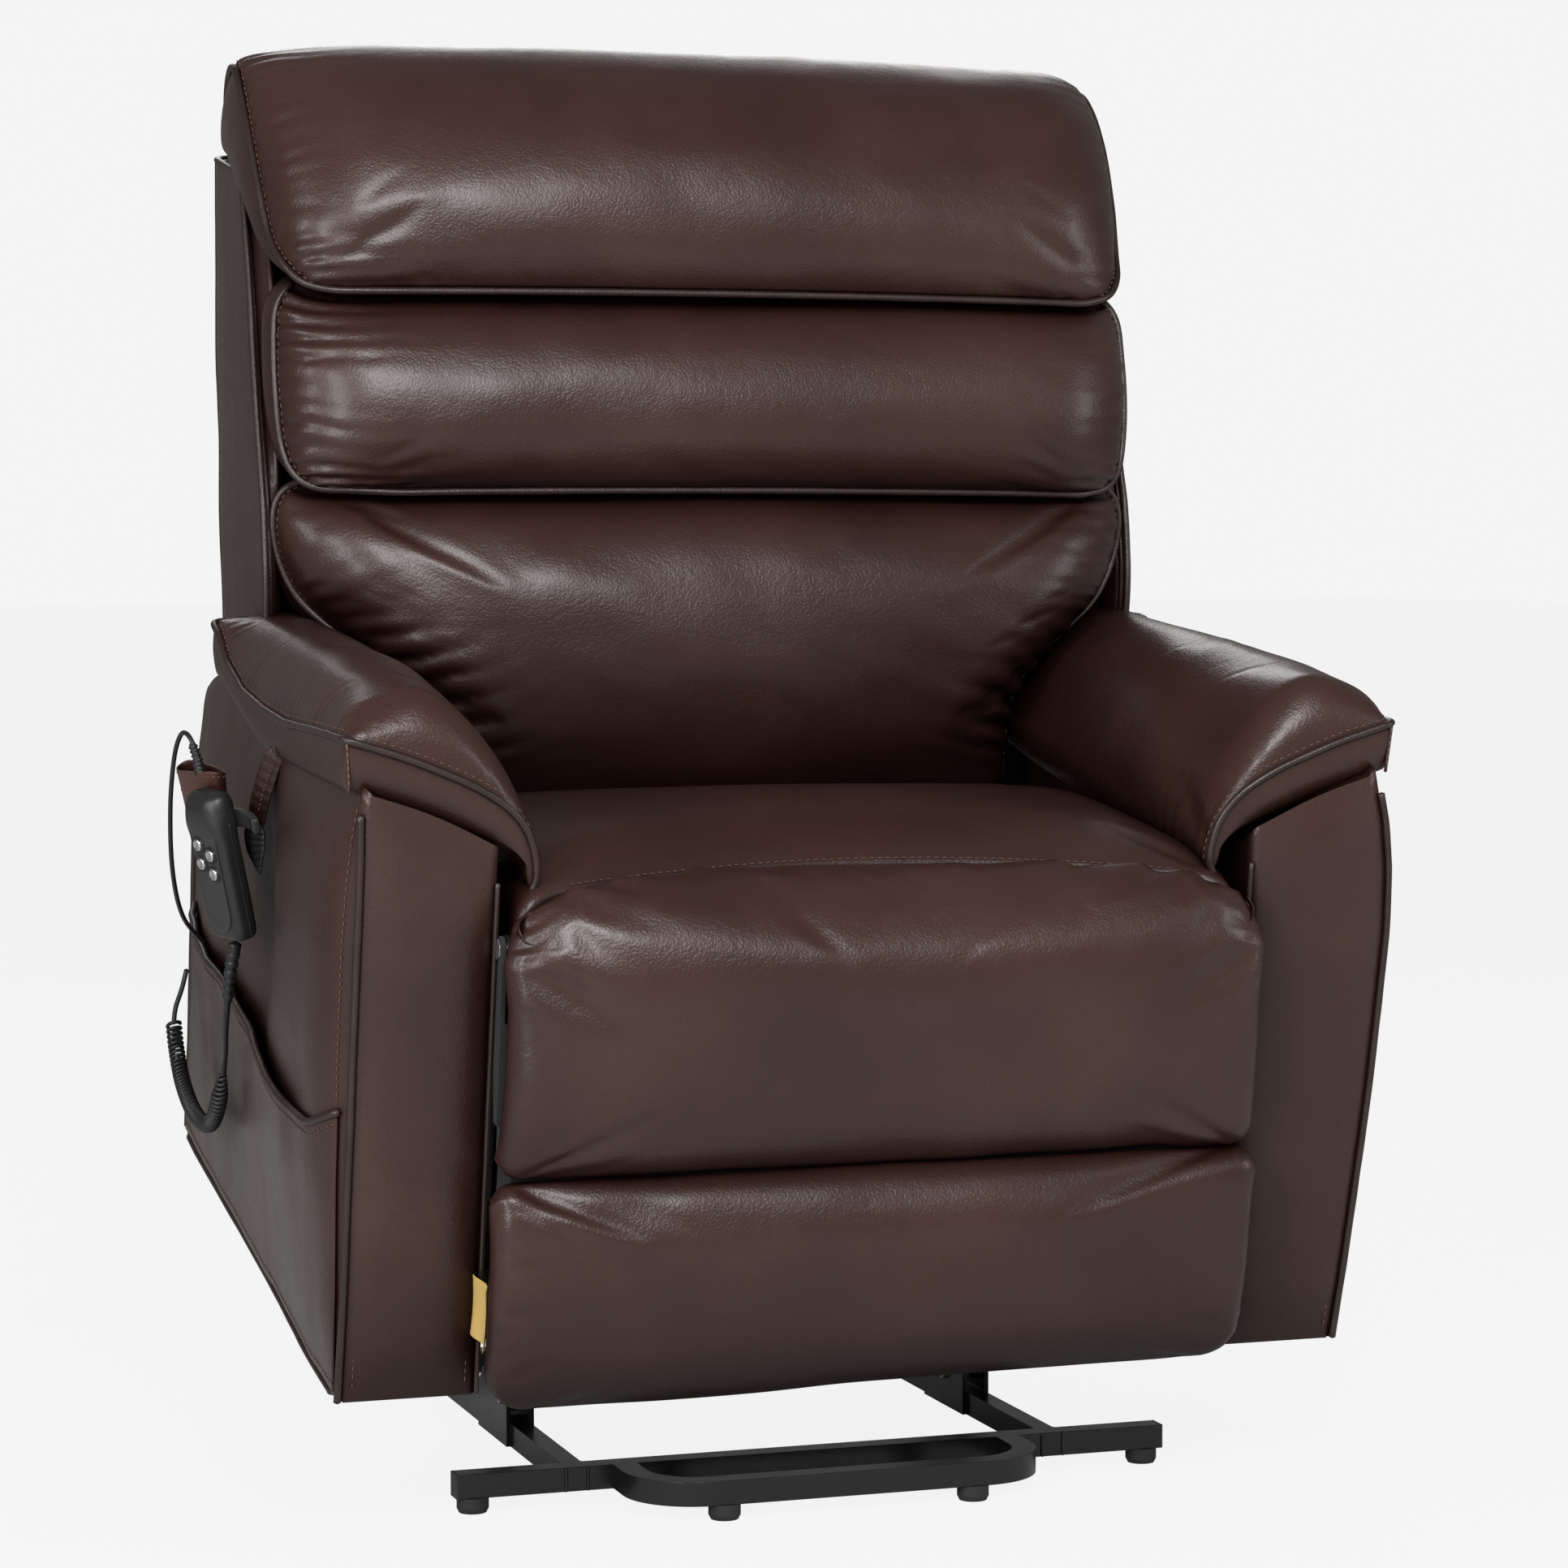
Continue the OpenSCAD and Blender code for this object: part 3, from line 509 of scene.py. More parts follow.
def ring_faces(rings, count, closed=False, start=0):
    """quads between successive rings of count points"""
    faces = []
    for i in range(rings if closed else rings - 1):
        here, there = start + i * count, start + (i + 1) % rings * count
        for j in range(count):
            k = (j + 1) % count
            faces.append((here + j, here + k, there + k, there + j))
    return faces


def fan(first, count, center):
    return [(first + j, first + (j + 1) % count, center) for j in range(count)]


cloths = []                                # (object, loose vertices, pressure, reach)


class Cushion:
    """A closed shell: a face grid, a back grid of the same size and a gusset between their
    borders. sim is the (pressure, greatest travel) of its cloth pass, if it has one."""

    def __init__(self, name, face, back, gusset_steps, material=LEATHER, belly=0.0, sim=None):
        face, back = np.asarray(face, float), np.asarray(back, float)
        self.shape = face.shape
        rows, columns = face.shape[0] - 1, face.shape[1] - 1
        self.count = count = (rows + 1) * (columns + 1)
        index = np.arange(count).reshape(rows + 1, columns + 1)
        border = np.r_[index[0, :-1], index[:-1, -1], index[-1, :0:-1], index[:0:-1, 0]]
        near, far = face.reshape(-1, 3)[border], back.reshape(-1, 3)[border]
        outward = np.cross(np.roll(near, -1, 0) - np.roll(near, 1, 0), far - near)
        outward /= np.linalg.norm(outward, axis=1)[:, None] + 1e-9
        if (outward * (near - (near.mean(0) + far.mean(0)) / 2)).sum() < 0:
            outward = -outward
        vertices = [face.reshape(-1, 3), back.reshape(-1, 3)]
        rings = [border]
        for k in range(1, gusset_steps):
            t = k / gusset_steps
            vertices.append(near * (1 - t) + far * t + outward * (belly * math.sin(math.pi * t)))
            rings.append(2 * count + (k - 1) * len(border) + np.arange(len(border)))
        rings.append(count + border)
        faces = grid_faces(rows, columns) + grid_faces(rows, columns, count, flip=True)
        for a, b in zip(rings, rings[1:]):
            faces += np.stack([a, np.roll(a, -1), np.roll(b, -1), b], 1).tolist()
        self.object = mesh_object(name, np.vstack(vertices), faces, material)
        if sim:
            cloths.append((self.object, index[1:-1, 1:-1].ravel(), *sim))

    def face(self):
        """the face grid as it now is"""
        return from_row(read_points(self.object)[: self.count]).reshape(self.shape)

    def push(self, travel, outside):
        """moves the face along its normals; outside is a rough outward direction"""
        face = self.face()
        normals = np.cross(np.gradient(face, axis=1), np.gradient(face, axis=0))
        normals /= np.linalg.norm(normals, axis=2)[:, :, None] + 1e-9
        if (normals * np.asarray(outside, float)).sum() < 0:
            normals = -normals
        points = read_points(self.object)
        points[: self.count] = to_row(face + normals * travel[:, :, None])
        write_points(self.object, points)

    def edge(self, side, inset=0.0):
        """the line that runs a distance inset in from one border of the face"""
        face = self.face()
        lines = {
            "first row": face.transpose(1, 0, 2),
            "last row": face[::-1].transpose(1, 0, 2),
            "first column": face,
            "last column": face[:, ::-1],
        }[side]
        return np.array([sample(line, along(line), inset) for line in lines])

    def seam_distances(self):
        """distance of each face point from the first and last column, first and last row"""
        face = self.face()
        rows, columns = face.shape[:2]
        across = np.linalg.norm(np.diff(face, axis=1), axis=2)
        across = np.cumsum(np.c_[np.zeros(rows), across], axis=1)
        up = np.linalg.norm(np.diff(face, axis=0), axis=2)
        up = np.cumsum(np.r_[np.zeros((1, columns)), up], axis=0)
        return across, across[:, -1:] - across, up, up[-1:] - up


def sheet(name, grid, backing, material=LEATHER):
    """a thin panel; backing is the offset of its rear face"""
    return Cushion(name, grid, np.asarray(grid) + np.array(backing), 1, material)


CLOTH_FRAMES = 20
CLOTH_SETTINGS = {
    "quality": 5, "mass": 0.25, "tension_stiffness": 18, "compression_stiffness": 18,
    "shear_stiffness": 6, "bending_stiffness": 1.2, "use_pressure": True,
}


def run_cloths():
    """inflates the cushions inside their pinned borders, then freezes them"""
    shapes = []
    for item, loose, pressure, _ in cloths:
        group = item.vertex_groups.new(name="pin")
        pinned = np.setdiff1d(np.arange(len(item.data.vertices)), loose)
        group.add(pinned.tolist(), 1.0, "REPLACE")
        group.add(loose.tolist(), 0.0, "REPLACE")
        modifier = item.modifiers.new("Cloth", "CLOTH")
        for key, value in CLOTH_SETTINGS.items():
            setattr(modifier.settings, key, value)
        modifier.settings.uniform_pressure_force = pressure
        modifier.settings.vertex_group_mass = "pin"
        modifier.settings.effector_weights.gravity = 0
        modifier.collision_settings.use_collision = False
        modifier.collision_settings.use_self_collision = False
        modifier.point_cache.frame_start = 1
        modifier.point_cache.frame_end = CLOTH_FRAMES
        shapes.append(read_points(item))
    for number in range(1, CLOTH_FRAMES + 1):
        scene.frame_set(number)
    graph = bpy.context.evaluated_depsgraph_get()
    for (item, _, _, reach), shape in zip(cloths, shapes):
        travel = read_points(item.evaluated_get(graph)) - shape
        length = np.linalg.norm(travel, axis=1)
        limit = reach / 1000.0
        gain = limit * np.tanh(length / limit) / np.maximum(length, 1e-9)
        travel *= np.where(length > 1e-9, gain, 0)[:, None]
        travel[~np.isfinite(travel)] = 0
        shape += travel
    for (item, *_), shape in zip(cloths, shapes):
        item.modifiers.clear()
        item.vertex_groups.clear()
        write_points(item, shape)
    scene.frame_set(1)


def path_frames(path, closed=False):
    """tangents, normals and binormals carried along a path without twist"""
    if closed:
        tangents = np.roll(path, -1, 0) - np.roll(path, 1, 0)
    else:
        tangents = np.gradient(path, axis=0)
    tangents /= np.linalg.norm(tangents, axis=1)[:, None] + 1e-12
    normals = np.zeros_like(path)
    up = np.array([0.0, 0, 1]) if abs(tangents[0, 2]) < 0.9 else np.array([1.0, 0, 0])
    normals[0] = np.cross(tangents[0], np.cross(up, tangents[0]))
    normals[0] /= np.linalg.norm(normals[0])
    for i in range(1, len(path)):
        normal = normals[i - 1] - tangents[i] * (normals[i - 1] @ tangents[i])
        normals[i] = normal / (np.linalg.norm(normal) + 1e-12)
    return tangents, normals, np.cross(tangents, normals)


def resample(path, step, closed=False):
    path = np.asarray(path, float)
    if closed:
        path = np.vstack([path, path[:1]])
    distances = along(path)
    count = max(3, int(round(distances[-1] / step)) + 1)
    even = sample(path, distances, np.linspace(0, distances[-1], count))
    return even[:-1] if closed else even


def sweep(path, radii, sides, closed=False):
    """vertices and side faces of a round section carried along a path"""
    _, normals, binormals = path_frames(path, closed)
    angle = np.linspace(0, 2 * math.pi, sides, endpoint=False)[None, :, None]
    around = np.cos(angle) * normals[:, None, :] + np.sin(angle) * binormals[:, None, :]
    vertices = (path[:, None, :] + radii[:, None, None] * around).reshape(-1, 3)
    return vertices, ring_faces(len(path), sides, closed)


def tube(name, path, radius, material, closed=False, step=6.0, sides=10, wobble=0.0, seed=0):
    """a smoothed tube; radius is one number, or a list spread evenly along the path"""
    path = resample(path, step, closed)
    if len(path) > 6:
        for _ in range(2):
            if closed:
                path = (np.roll(path, 1, 0) + 2 * path + np.roll(path, -1, 0)) / 4
            else:
                middle = (path[:-2] + 2 * path[1:-1] + path[2:]) / 4
                path = np.vstack([path[:1], middle, path[-1:]])
    count = len(path)
    given = np.atleast_1d(radius)
    radii = np.interp(np.linspace(0, 1, count), np.linspace(0, 1, len(given)), given)
    if np.isscalar(radius):
        radii = np.full(count, float(radius))
    if wobble:
        radii = radii * (1 + wobble * noise(np.arange(count) * step / 23.0, 0.3, seed))
    vertices, faces = sweep(path, radii, sides, closed)
    if not closed:
        tangents = path_frames(path)[0]
        for i, direction in ((0, -1), (count - 1, 1)):
            faces += fan(i * sides, sides, len(vertices))
            tip = path[i] + tangents[i] * (0.55 * radii[i] * direction)
            vertices = np.vstack([vertices, tip])
    return mesh_object(name, vertices, faces, material)


def piping(name, path, radius, wobble=0.0, **options):
    return tube(name, path, radius, PIPING, wobble=wobble, **options)


# one stitch: (place along its length, share of its radius)
STITCH_PROFILE = ((-0.5, 0.25), (-0.36, 0.85), (0, 1.0), (0.36, 0.85), (0.5, 0.25))
STITCH_SIDES = 6


def stitches(name, path, pitch=7.0, length=4.4, radius=0.55):
    """a row of short thread stitches that lie along a path"""
    path = resample(path, 1.5)
    distances = along(path)
    angles = np.linspace(0, 2 * math.pi, STITCH_SIDES, endpoint=False)
    vertices, faces = [], []
    for k in range(int(distances[-1] // pitch)):
        center = (k + 0.5) * pitch
        start, end = (sample(path, distances, center + t * length) for t in (-0.5, 0.5))
        tangent = end - start
        tangent /= np.linalg.norm(tangent) + 1e-9
        up = np.array([0.0, 0, 1]) if abs(tangent[2]) < 0.9 else np.array([0.0, 1, 0])
        normal = np.cross(tangent, up)
        normal /= np.linalg.norm(normal)
        binormal = np.cross(tangent, normal)
        first = len(vertices)
        for t, share in STITCH_PROFILE:
            for angle in angles:
                around = normal * math.cos(angle) + binormal * math.sin(angle)
                vertices.append((start + end) / 2 + tangent * t * length
                                + around * radius * share)
        last = first + (len(STITCH_PROFILE) - 1) * STITCH_SIDES
        faces += ring_faces(len(STITCH_PROFILE), STITCH_SIDES, start=first)
        faces.append(tuple(first + j for j in reversed(range(STITCH_SIDES))))
        faces.append(tuple(last + j for j in range(STITCH_SIDES)))
    return mesh_object(name, vertices, faces, THREAD)


def loft(name, sections, material, caps=True):
    """a skin over closed sections of equal point counts"""
    count = len(sections[0])
    vertices = np.vstack(sections)
    faces = ring_faces(len(sections), count)
    if caps:
        for i in (0, len(sections) - 1):
            faces += fan(i * count, count, len(vertices))
            vertices = np.vstack([vertices, sections[i].mean(0)])
    return mesh_object(name, vertices, faces, material)


# ------------------------------------------------------------------ arm bodies
# x is taken as positive on both sides and mirrored for the left arm
ARM_INNER_X, ARM_OUTER_X = 347.0, 476.0
ARM_LENGTH, ARM_FOOT_LENGTH = 780.0, 729.0
ARM_SEEDS = {RIGHT: 5, LEFT: 11}

# (y, z) of the top edges, front to rear
ARM_TOP_OUTER = ((0, 543), (29, 546), (172, 526), (349, 502), (467, 508), (560, 516), (610, 506),
                 (690, 474), (732, 442), (765, 400), (780, 357))
ARM_TOP_INNER = ((0, 490), (24, 470), (172, 458), (440, 455), (600, 470), (690, 452), (732, 430),
                 (765, 395), (780, 357))
# (z, x) of the outer side: at its front welt, and behind it
ARM_WELT = {
    LEFT: ((0, 469), (94, 464), (240, 461), (391, 460), (440, 460), (488, 462), (522, 466),
           (545, 464)),
    RIGHT: ((0, 469), (94, 474), (240, 481), (391, 484), (449, 481), (495, 474), (522, 467),
            (545, 461)),
}
ARM_SIDE = ((0, 471), (68, 480), (194, 491), (300, 495), (400, 495), (449, 491), (495, 481),
            (521, 470), (545, 464))
ARM_SIDE_EXTRA_RIGHT = ((0, 0), (194, 3), (400, 5), (495, 2), (545, 0))

ARM_STEPS, ARM_RISE, ARM_ACROSS = 70, 46, 16     # front to rear, up a side, across the top
ARM_STATIONS = curve(ARM_TOP_OUTER, ARM_STEPS + 1)[:, 0]
# share by which the first sections narrow into the front panel
ARM_FRONT_EASE = (1.0, 0.35, 0.1)
ARM_MIDDLE_X = 411.0
STITCH_PITCH = 7.5


def arm_top(x, y):
    """height of the arm body under its pad"""
    outer, inner = lookup(y, ARM_TOP_OUTER), lookup(y, ARM_TOP_INNER)
    t = np.clip((x - ARM_INNER_X) / (ARM_OUTER_X - ARM_INNER_X), 0, 1)
    return inner * (1 - t) + outer * t


def arm_outer(y, z, hand):
    """x of the arm's outer side"""
    y, z = np.asarray(y, float), np.asarray(z, float)
    welt, side = lookup(z, ARM_WELT[hand]), lookup(z, ARM_SIDE)
    if hand == RIGHT:
        side = side + lookup(z, ARM_SIDE_EXTRA_RIGHT)
    fullness = quarter(y + 1.0, 78.0) * (1 - 0.42 * ease(160, 400, y)) * (1 - ease(600, 780, y))
    x = welt + (side - welt) * fullness
    if hand == LEFT:                       # pressed in where the handset hangs
        x = x - 13.0 * np.exp(-((y - 318) / 92.0) ** 2) * np.exp(-((z - 350) / 92.0) ** 2)
    gate = ease(30, 110, y) * (1 - ease(640, 740, y))
    gate = gate * (1 - 0.5 * ease(60, 0, z)) * (1 - ease(470, 545, z))
    return x + 2.6 * noise(y / 62.0, z / 330.0, ARM_SEEDS[hand]) * gate


def arm_section(t, hand):
    """a line up the inner side, across the top and down the outer side"""
    top_y = ARM_STATIONS[t]
    sides = []                             # (height share, y)
    for b in np.linspace(0, 1, ARM_RISE + 1):
        y = (1 - b) * top_y * ARM_FOOT_LENGTH / ARM_LENGTH + b * top_y
        sides.append((b, y + 7 * math.sin(math.pi * b) * t / ARM_STEPS))
    points = []
    for b, y in sides:
        z = b * float(arm_top(ARM_INNER_X, top_y))
        hollow = 3.0 * math.sin(math.pi * min(1, z / 470.0)) * float(ease(30, 160, y))
        points.append((ARM_INNER_X - hollow, y, z))
    top_width = float(arm_outer(top_y, 540, hand)) - ARM_INNER_X
    for k in range(1, ARM_ACROSS):
        x = ARM_INNER_X + top_width * k / ARM_ACROSS
        z = float(arm_top(x, top_y)) + 5 * math.sin(math.pi * k / ARM_ACROSS)
        points.append((x, top_y, z))
    for b, y in sides[::-1]:
        z = b * float(arm_top(ARM_OUTER_X, top_y))
        points.append((float(arm_outer(y, z, hand)), y, z))
    return points


def arm_end(section, crown, seed):
    """crowned grid that closes the arm at one section"""
    rise, across = ARM_RISE, ARM_ACROSS
    inner, top = section[: rise + 1], section[rise + 1: rise + across]
    outer = section[rise + across:][::-1]
    grid = np.zeros((rise + 1, across + 1, 3))
    for i in range(rise + 1):
        for j in range(across + 1):
            q = j / across
            point = inner[i] * (1 - q) + outer[i] * q
            if 0 < j < across:
                if i == rise:
                    point = top[j - 1]
                else:
                    lift = top[j - 1][2] - (inner[rise][2] * (1 - q) + outer[rise][2] * q)
                    point = point + np.array([0, 0, lift * (i / rise) ** 3])
            bulge = crown * (1 - (1 - min(q, 1 - q) * 2) ** 3)
            bulge *= min(1, (i + 0.2) / 4) * min(1, (rise - i) / 5 + 0.25)
            bulge *= 1 + 0.16 * float(noise(i / 7.0, q * 2.2, seed))
            grid[i, j] = point + np.array([0, bulge, 0])
    return grid


def make_arm(hand):
    tag, seed = TAGS[hand], ARM_SEEDS[hand]
    mirror = np.array([hand, 1, 1])
    body = np.array([arm_section(t, hand) for t in range(ARM_STEPS + 1)])
    for t, share in enumerate(ARM_FRONT_EASE):
        body[t, :, 0] += (ARM_MIDDLE_X - body[t, :, 0]) * 0.016 * share
    front = arm_end(body[0], crown=-9.0, seed=seed + 20)
    rear = arm_end(body[-1], crown=5.0, seed=seed + 21)
    vertices = np.vstack([grid.reshape(-1, 3) for grid in (body, front, rear)]) * mirror
    body_count, end_count = body[:, :, 0].size, front[:, :, 0].size
    faces = grid_faces(ARM_STEPS, body.shape[1] - 1)
    faces += grid_faces(ARM_RISE, ARM_ACROSS, body_count)
    faces += grid_faces(ARM_RISE, ARM_ACROSS, body_count + end_count, flip=True)
    arm = mesh_object("arm_" + tag, vertices, faces, LEATHER)
    recalculate_normals(arm.data, merge=2e-5)
    cover(arm, "arm_cover_" + tag, "chassis")

    inner, outer = front[:, 0], front[:, -1]
    stitch_line = np.array([0, -2.6, 0])
    inset = 0.085                          # share of the front panel's width
    side_stitch = [(float(arm_outer(9, z, hand)) + 0.1, 9.5, z) for z in np.linspace(8, 525, 60)]
    hem = np.vstack([body[1:-1, 0], body[-1:1:-1, -1]])
    bottom = np.array([
        [body[t, 0] * (1 - q) + body[t, -1] * q
         + np.array([0, 0, -1.2 - 2.0 * math.sin(math.pi * q) * math.sin(math.pi * t / ARM_STEPS)])
         for q in np.linspace(0.03, 0.97, 9)]
        for t in range(ARM_STEPS + 1)])
    attach([
        piping("arm_front_welt_" + tag, (outer[:-2] + np.array([1.6, -1.2, 0])) * mirror,
               3.3, wobble=0.06, seed=seed),
        stitches("arm_front_stitch_outer_" + tag,
                 (outer[1:-3] * (1 - inset) + inner[1:-3] * inset + stitch_line) * mirror,
                 pitch=STITCH_PITCH),
        stitches("arm_side_stitch_" + tag, np.array(side_stitch) * mirror, pitch=STITCH_PITCH),
        piping("arm_inner_welt_" + tag, (inner[:-3] + np.array([-0.8, -1.0, 0])) * mirror,
               2.4, wobble=0.06, seed=seed + 2),
        stitches("arm_front_stitch_inner_" + tag,
                 (inner[1:-4] * (1 - inset) + outer[1:-4] * inset + stitch_line) * mirror,
                 pitch=STITCH_PITCH),
        piping("arm_rear_welt_" + tag, (rear[1:, -1] + np.array([0.6, 1.0, 0])) * mirror,
               2.8, wobble=0.05, seed=seed + 3),
        piping("arm_hem_" + tag, hem * mirror + np.array([0, 0, -0.6]), 2.6, closed=True),
        sheet("arm_dust_cover_" + tag, bottom * mirror, (0, 0, 2.0), LINING).object,
    ], "chassis")


# ------------------------------------------------------------------ arm pads
PAD_FRONT_Y, PAD_REAR_Y = 10, 602
PAD_ACROSS = 46
# (x, z) of the front and rear seams, from the outer edge over to the inner edge
PAD_FRONT_SEAM = ((479, 582), (449, 573), (422, 564), (395, 553), (368, 541), (340, 524),
                  (323, 507), (314, 489), (310.5, 472), (310, 456), (315, 446))
PAD_REAR_SEAM = ((479, 558), (450, 560), (410, 555), (370, 545), (345, 528), (328, 506),
                 (318, 486), (312, 470), (311, 460), (312, 452), (316, 446))
# (y, z) front to rear
PAD_OUTER_SEAM = ((10, 582), (60, 575), (118, 565), (247, 542), (345, 532), (441, 527),
                  (519, 536), (567, 554), (602, 559))
PAD_CREST = ((10, 616), (47, 620), (228, 614), (342, 603), (491, 586), (560, 576), (602, 566))
PAD_UNDER_OUTER = ((10, 539), (29, 537), (172, 516), (349, 492), (467, 499), (560, 507),
                   (602, 509))
PAD_UNDER_INNER = ((10, 480), (30, 462), (80, 442), (440, 441), (602, 455))
PAD_STATIONS = np.r_[np.linspace(PAD_FRONT_Y, 70, 19)[:-1], np.linspace(70, 540, 132),
                     np.linspace(540, PAD_REAR_Y, 17)[1:]]


def make_arm_pad(hand):
    front, rear = curve(PAD_FRONT_SEAM, PAD_ACROSS + 1), curve(PAD_REAR_SEAM, PAD_ACROSS + 1)
    face = np.zeros((len(PAD_STATIONS), PAD_ACROSS + 1, 3))
    under = np.zeros_like(face)
    across = np.linspace(0, 1, PAD_ACROSS + 1)
    for i, y in enumerate(PAD_STATIONS):
        seam, crest = lookup(y, PAD_OUTER_SEAM), lookup(y, PAD_CREST)
        section = curve([(480, seam), (474, seam + 0.45 * (crest - seam)),
                         (450, seam + 0.80 * (crest - seam)), (410, crest - 1),
                         (374, crest - 23), (340, crest - 62), (317, crest - 108),
                         (309, 474), (309, 458), (315, 446)], PAD_ACROSS + 1)
        from_front = quarter(y - PAD_FRONT_Y, 46)
        from_rear = quarter(PAD_REAR_Y - y, 34)
        section = front * (1 - from_front) + section * from_front
        section = rear * (1 - from_rear) + section * from_rear
        face[i] = np.c_[section[:, 0], np.full(PAD_ACROSS + 1, y), section[:, 1]]
        under[i, :, 0] = 477.5 + (321 - 477.5) * across
        under[i, :, 1] = y * 0.985 + 3.0
        under[i, :, 2] = (lookup(y, PAD_UNDER_OUTER) * (1 - across)
                          + lookup(y, PAD_UNDER_INNER) * across
                          + (8 if y > 25 else 2) * np.sin(math.pi * across))
    mirror = np.array([hand, 1, 1])
    return Cushion("arm_pad_" + TAGS[hand], face * mirror, under * mirror, gusset_steps=5,
                   belly=3.0, sim=(2.2, 8.0))


def finish_arm_pad(pad, hand):
    tag = TAGS[hand]
    seed = 30 if hand == RIGHT else 40
    y = pad.face()[:, :, 1]
    outer, inner, front, _ = pad.seam_distances()
    travel = pucker(front, outer, spacing=15.0, reach=44.0, seed=seed,
                    height=5.6 * (0.45 + 0.55 * ease(260, 430, y)))
    travel += (pucker(outer, front, spacing=17.0, reach=26.0, height=4.0, seed=seed + 5)
               * (0.35 + 0.65 * ease(60, 170, outer)))
    travel += (pucker(front, inner, spacing=24.0, reach=52.0, height=7.0, seed=seed + 9)
               * (1 - ease(60, 190, front)))
    travel += (1.6 * noise(front / 85.0, outer / 60.0, seed + 12)
               * quarter(outer, 30) * quarter(front, 30))
    pad.push(travel, (0, 0, 1))
    subdivide(pad.object)
    cover(pad.object, "arm_pad_" + tag, "chassis")

    outer_seam = pad.edge("first column")
    front_seam = pad.edge("first row")
    rear_seam = pad.edge("last row")
    seam = np.vstack([rear_seam[int(len(rear_seam) * 0.75)::-1][:-1], outer_seam[::-1][:-1],
                      front_seam])
    stitch_line = np.vstack([pad.edge("first column", 6.5)[::-1][:-3],
                             pad.edge("first row", 6.5)[2:-2]])
    # upright seam at the outer front corner
    corner = np.linspace(front_seam[0] + np.array([hand * -0.5, -1.6, -3]),
                         np.array([hand * ARM_OUTER_X, 8.0, 538.0])
                         + np.array([hand * -0.5, -1.6, 0]), 8)
    attach([
        piping("pad_piping_" + tag, seam + np.array([hand * 1.4, -0.6, 0.2]), 3.4,
               step=5, wobble=0.07, seed=seed),
        stitches("pad_stitch_" + tag, stitch_line + np.array([0, 0, 0.5]), pitch=STITCH_PITCH),
        stitches("pad_corner_seam_" + tag, corner, pitch=6.0, length=4.2, radius=0.8),
        tube("pad_corner_fold_" + tag, corner + np.array([0, 1.4, 0]), 1.6, LEATHER,
             sides=8, step=4),
    ], "chassis")


# ------------------------------------------------------------------ back pillows
# seam: (x, y, z) of the right-hand seam; middle: (y, z) of the face at x = 0; both bottom to top
# back: (y, z) of the rear face at the bottom and at the top
HEAD_PILLOW = {
    "seam": ((388, 572, 885), (408, 578, 890), (423, 596, 905), (431, 624, 926), (437, 660, 975),
             (441, 712, 1035), (441, 768, 1072), (438, 812, 1060), (434, 838, 1025),
             (430, 848, 998)),
    "middle": ((566, 885), (554, 901), (552, 935), (560, 975), (588, 1022), (640, 1075),
               (705, 1100), (775, 1096), (826, 1058), (846, 998)),
    "back": ((640, 905), (845, 977)), "rounding": 95.0, "rows": 84,
}
MIDDLE_PILLOW = {
    "seam": ((384, 534, 699), (404, 539, 703), (419, 549, 715), (427, 560, 738), (431, 572, 780),
             (431, 590, 830), (427, 603, 866), (412, 612, 884)),
    "middle": ((528, 699), (510, 708), (498, 732), (496, 768), (508, 810), (532, 848),
               (562, 871), (604, 880)),
    "back": ((600, 700), (662, 876)), "rounding": 90.0, "rows": 60,
}
LOWER_PILLOW = {
    "seam": ((301, 500, 400), (304, 505, 462), (308, 510, 500), (330, 520, 527), (372, 536, 560),
             (408, 550, 592), (427, 560, 630), (432, 566, 668), (424, 570, 692), (400, 572, 704)),
    "middle": ((462, 400), (452, 440), (446, 490), (448, 530), (455, 570), (466, 610),
               (480, 646), (500, 674), (532, 690), (568, 695)),
    "back": ((538, 404), (580, 692)), "rounding": 90.0, "rows": 78,
}
PILLOW_COLUMNS = 104


def crowd_edges(count, share):
    """-1..1 in count steps, crowded towards both ends by a share"""
    u = np.linspace(-1, 1, count + 1)
    size = np.abs(u)
    return np.sign(u) * ((1 - share) * size + share * (1 - (1 - size) ** 2))


def make_pillow(name, seam, middle, back, rounding, rows):
    seam, middle = curve(seam, rows + 1), curve(middle, rows + 1)
    u = crowd_edges(PILLOW_COLUMNS, 0.22)
    face = np.zeros((rows + 1, PILLOW_COLUMNS + 1, 3))
    rear = np.zeros_like(face)
    low, high = np.array(back)
    for i in range(rows + 1):
        x, y, z = seam[i]
        t = i / rows
        rise = 0.86 * quarter((1 - np.abs(u)) * x, rounding) + 0.14 * (1 - u ** 2)
        face[i, :, 0] = u * x
        face[i, :, 1] = y + (middle[i, 0] - y) * rise
        face[i, :, 2] = z + (middle[i, 1] - z) * rise + 3.6 * (1 - u ** 2) * (1 - t)
        rear[i, :, 0] = face[i, :, 0] * 0.985
        rear[i, :, 1:] = low + (high - low) * t
    return Cushion(name, face, rear, gusset_steps=5, belly=11.0, sim=(4.0, 24.0))


def corner_gathers(depth, up, height, seed):
    """long gathers that run up and inwards from a lower corner"""
    gate = np.clip(0.75 + 0.6 * noise(up / 40.0, 1.7, seed + 4), 0.2, 1.2)
    reach = 78.0 + 22 * noise(up / 31.0, 5.1, seed + 6)
    fade = np.exp(-(depth / reach) ** 2.2) * (1 - np.exp(-((depth / 7.0) ** 2)))
    zone = ease(20, 70, up) * (1 - 0.85 * ease(150, 215, up))
    return height * gate * folds(up - 0.30 * depth, depth, 25.0, seed) * fade * zone


